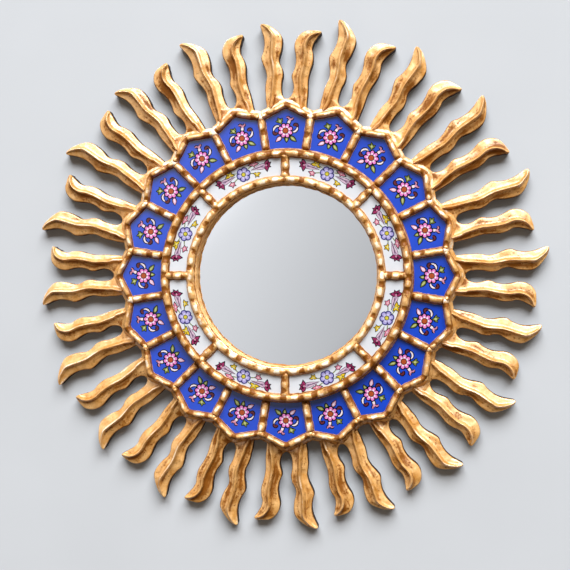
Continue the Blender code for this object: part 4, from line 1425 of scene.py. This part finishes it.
class SUNBURST_OT_paint_band_tiles(bpy.types.Operator):
    """Glaze the white tiles and paint a flower garland on each"""

    bl_idname = "sunburst.paint_band_tiles"
    bl_label = "Paint band tiles"

    def execute(self, context):
        glass = backed_glass("milk_glass", colours().milk, mottle=0.02)
        enamel = bpy.data.materials["painted_enamel"]
        picture = white_picture()
        for i in range(BAND_TILES):
            face_material(f"band_tile_{i + 1}", glass)
            copy = duplicate(picture, f"painted_garland_{i + 1}")
            x, y, z = read_points(copy).T
            points = around(GARLAND_RADIUS + z, x / GARLAND_RADIUS, BAND_TILE_FACE - y)
            write_points(copy, turned(points, math.tau * (i + 0.5) / BAND_TILES))
            dress(copy, "white_glass", BODY, [enamel])
        bpy.data.objects.remove(picture)
        return {"FINISHED"}


class SUNBURST_OT_silver_mirror(bpy.types.Operator):
    """Silver the round mirror"""

    bl_idname = "sunburst.silver_mirror"
    bl_label = "Silver mirror"

    def execute(self, context):
        face_material("mirror_glass", silvered_glass())
        return {"FINISHED"}


class SUNBURST_OT_finish_back(bpy.types.Operator):
    """Finish the base ring, the filler card, the backing panel, the hanger and the screws"""

    bl_idname = "sunburst.finish_back"
    bl_label = "Finish back"

    def execute(self, context):
        face_material("base_ring", stained_wood("stained_base", colours().base_wood, grain_mm=2.5))
        card = pressed_board("greyboard", colours().card, fibre_mm=1.2, roughness=0.9)
        panel = pressed_board("hardboard", colours().board, fibre_mm=1.6, roughness=0.75)
        face_material("filler_card", card)
        face_material("backing_panel", panel)
        nickel = nickel_plate()
        screws = [f"panel_screw_{i + 1}" for i in range(PANEL_SCREWS)]
        for node in ("hanger_strap", "hanger_screw", "hanger_ring", *screws):
            face_material(node, nickel)
        return {"FINISHED"}


def lamp(name, position, energy, size):
    """Soft rectangular lamp at a position, turned to the middle of the mirror."""
    clear_selection()
    bpy.ops.object.light_add(type="AREA", location=position)
    light = named(name)
    light.data.energy = energy
    light.data.shape = "RECTANGLE"
    light.data.size, light.data.size_y = size
    turn_to(light, (0.0, 0.0, 0.0))


def turn_to(thing, aim):
    """Turn a lamp or camera so that it looks at a point."""
    thing.rotation_euler = (Vector(aim) - thing.location).to_track_quat("-Z", "Y").to_euler()


def room_world():
    """Pale room that lights matt surfaces weakly and warmly and shows the camera a clear backdrop.

    In reflections it is paler above and to the left, dim at the lower right, with a window up on the right.
    """
    world = bpy.data.worlds.new("pale_room")
    world.use_nodes = True
    tree = world.node_tree
    tree.nodes.clear()
    way = add_node(tree, "TexCoord").outputs["Generated"]
    parts = add_node(tree, "SeparateXYZ", None, {"Vector": way})
    x, z = parts.outputs["X"], parts.outputs["Z"]
    below = add_node(
        tree, "MapRange", {"From Min": -0.7, "From Max": 0.05, "To Min": 0.2, "To Max": 0.92}, {"Value": z})
    above = add_node(
        tree, "MapRange", {"From Min": 0.0, "From Max": 0.9, "To Min": 1.0, "To Max": 1.3}, {"Value": z})
    upright = add_node(tree, "Math", {"operation": "MULTIPLY"}, {0: below, 1: above})
    aside = add_node(
        tree, "MapRange",
        {"interpolation_type": "SMOOTHSTEP",
         "From Min": -0.24, "From Max": 0.06, "To Min": 1.0, "To Max": 0.55},
        {"Value": x})
    shown = add_node(tree, "Math", {"operation": "MULTIPLY"}, {0: upright, 1: aside})
    across = add_node(tree, "Math", {"operation": "SUBTRACT"}, {0: x, 1: z})
    bright = add_node(
        tree, "MapRange",
        {"interpolation_type": "SMOOTHSTEP",
         "From Min": -0.3, "From Max": -0.18, "To Min": 1.5, "To Max": 1.0},
        {"Value": across})
    dim = add_node(
        tree, "MapRange",
        {"interpolation_type": "SMOOTHSTEP",
         "From Min": 0.0, "From Max": 0.08, "To Min": 1.0, "To Max": 0.4},
        {"Value": across})
    corners = add_node(tree, "Math", {"operation": "MULTIPLY"}, {0: bright, 1: dim})
    from_window = add_node(
        tree, "VectorMath",
        {"operation": "MULTIPLY_ADD", 1: (1.0, 0.0, 1.0), 2: (-WINDOW_MIDDLE[0], 0.0, -WINDOW_MIDDLE[1])},
        {0: way})
    distance = add_node(tree, "VectorMath", {"operation": "LENGTH"}, {0: from_window})
    window = add_node(
        tree, "MapRange",
        {"interpolation_type": "SMOOTHSTEP",
         "From Min": 0.15, "From Max": 0.52, "To Min": 6.0, "To Max": 0.0},
        {"Value": distance})
    seen = add_node(tree, "Math", {"operation": "MULTIPLY_ADD"}, {0: shown, 1: corners, 2: window})
    path = add_node(tree, "LightPath").outputs
    camera = path["Is Camera Ray"]
    mirrored = add_node(
        tree, "Math", {"operation": "MAXIMUM"}, {0: path["Is Glossy Ray"], 1: path["Is Transmission Ray"]})
    inside = add_node(tree, "Mix", {"data_type": "FLOAT", 2: FILL_STRENGTH}, {0: mirrored, 3: seen})
    strength = add_node(tree, "Mix", {"data_type": "FLOAT", 3: BACKDROP_STRENGTH}, {0: camera, 2: inside})
    clear = add_node(tree, "Math", {"operation": "MAXIMUM"}, {0: mirrored, 1: camera})
    tint = add_node(
        tree, "Mix",
        {"data_type": "RGBA", 6: rgba(linear(FILL_COLOUR)), 7: rgba(linear(BACKDROP_COLOUR))}, {0: clear})
    back = add_node(tree, "Background", None, {"Color": tint, "Strength": strength})
    add_node(tree, "OutputWorld", None, {"Surface": back})
    return world


class SUNBURST_OT_set_stage(bpy.types.Operator):
    """Set up the wall, the lamps, the room and the camera"""

    bl_idname = "sunburst.set_stage"
    bl_label = "Set stage"

    def execute(self, context):
        clear_selection()
        bpy.ops.mesh.primitive_plane_add(
            size=WALL_WIDTH, location=(0.0, WALL_GAP, 0.0), rotation=(math.pi / 2, 0.0, 0.0))
        wall = named("wall")
        bpy.ops.object.transform_apply(location=True, rotation=True, scale=True)
        wall.data.materials.append(painted_wall())
        wall.visible_shadow = False

        off_axis = KEY_DISTANCE * math.sin(KEY_LEAN)
        key = (
            off_axis * math.sin(KEY_CLOCK), -KEY_DISTANCE * math.cos(KEY_LEAN),
            off_axis * math.cos(KEY_CLOCK))
        lamp("key_lamp", key, KEY_POWER, KEY_SIZE)
        lamp("back_lamp", BACK_PLACE, BACK_POWER, BACK_SIZE)
        context.scene.world = room_world()

        level = VIEW_DISTANCE * math.cos(VIEW_ELEVATION)
        height = VIEW_DISTANCE * math.sin(VIEW_ELEVATION)
        eye = (level * math.sin(VIEW_AZIMUTH), -level * math.cos(VIEW_AZIMUTH), height)
        bpy.ops.object.camera_add(location=eye)
        camera = named("camera")
        turn_to(camera, (0.0, 0.0, 0.0))
        camera.data.sensor_width = SENSOR_WIDTH
        camera.data.lens = FOCAL_PIXELS / FRAME_PIXELS * SENSOR_WIDTH
        camera.data.shift_x = (FRAME_PIXELS / 2 - CENTRE_PIXEL[0]) / FRAME_PIXELS
        camera.data.shift_y = (CENTRE_PIXEL[1] - FRAME_PIXELS / 2) / FRAME_PIXELS
        context.scene.camera = camera
        context.scene.view_settings.view_transform = "Standard"
        return {"FINISHED"}


OPERATORS = (
    SUNBURST_OT_set_stage,
    SUNBURST_OT_carve_rays,
    SUNBURST_OT_carve_petal_frame,
    SUNBURST_OT_carve_band,
    SUNBURST_OT_paint_petal_tiles,
    SUNBURST_OT_paint_band_tiles,
    SUNBURST_OT_silver_mirror,
    SUNBURST_OT_finish_back,
)


class SUNBURST_PT_steps(bpy.types.Panel):
    """Steps that dress the mirror, in order"""

    bl_label = "Sunburst mirror"
    bl_idname = "SUNBURST_PT_steps"
    bl_space_type = "VIEW_3D"
    bl_region_type = "UI"
    bl_category = "Sunburst"

    def draw(self, context):
        for step in OPERATORS:
            self.layout.operator(step.bl_idname)
        for group in (context.scene.sunburst_sizes, context.scene.sunburst_colours):
            for name in group.__annotations__:
                self.layout.prop(group, name)


CLASSES = (SunburstSizes, SunburstColours, *OPERATORS, SUNBURST_PT_steps)


def register():
    """Add the settings, the steps and the panel."""
    for item in CLASSES:
        bpy.utils.register_class(item)
    bpy.types.Scene.sunburst_sizes = bpy.props.PointerProperty(type=SunburstSizes)
    bpy.types.Scene.sunburst_colours = bpy.props.PointerProperty(type=SunburstColours)


def unregister():
    """Take the settings, the steps and the panel away."""
    del bpy.types.Scene.sunburst_colours
    del bpy.types.Scene.sunburst_sizes
    for item in reversed(CLASSES):
        bpy.utils.unregister_class(item)


def main():
    """Dress the frame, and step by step."""
    register()
    for name in ("Cube", "Light", "Camera"):
        if name in bpy.data.objects:
            bpy.data.objects.remove(bpy.data.objects[name])
    bpy.ops.sunburst.set_stage()
    bpy.ops.sunburst.carve_rays()
    bpy.ops.sunburst.carve_petal_frame()
    bpy.ops.sunburst.carve_band()
    bpy.ops.sunburst.paint_petal_tiles()
    bpy.ops.sunburst.paint_band_tiles()
    bpy.ops.sunburst.silver_mirror()
    bpy.ops.sunburst.finish_back()


if __name__ == "__main__":
    main()
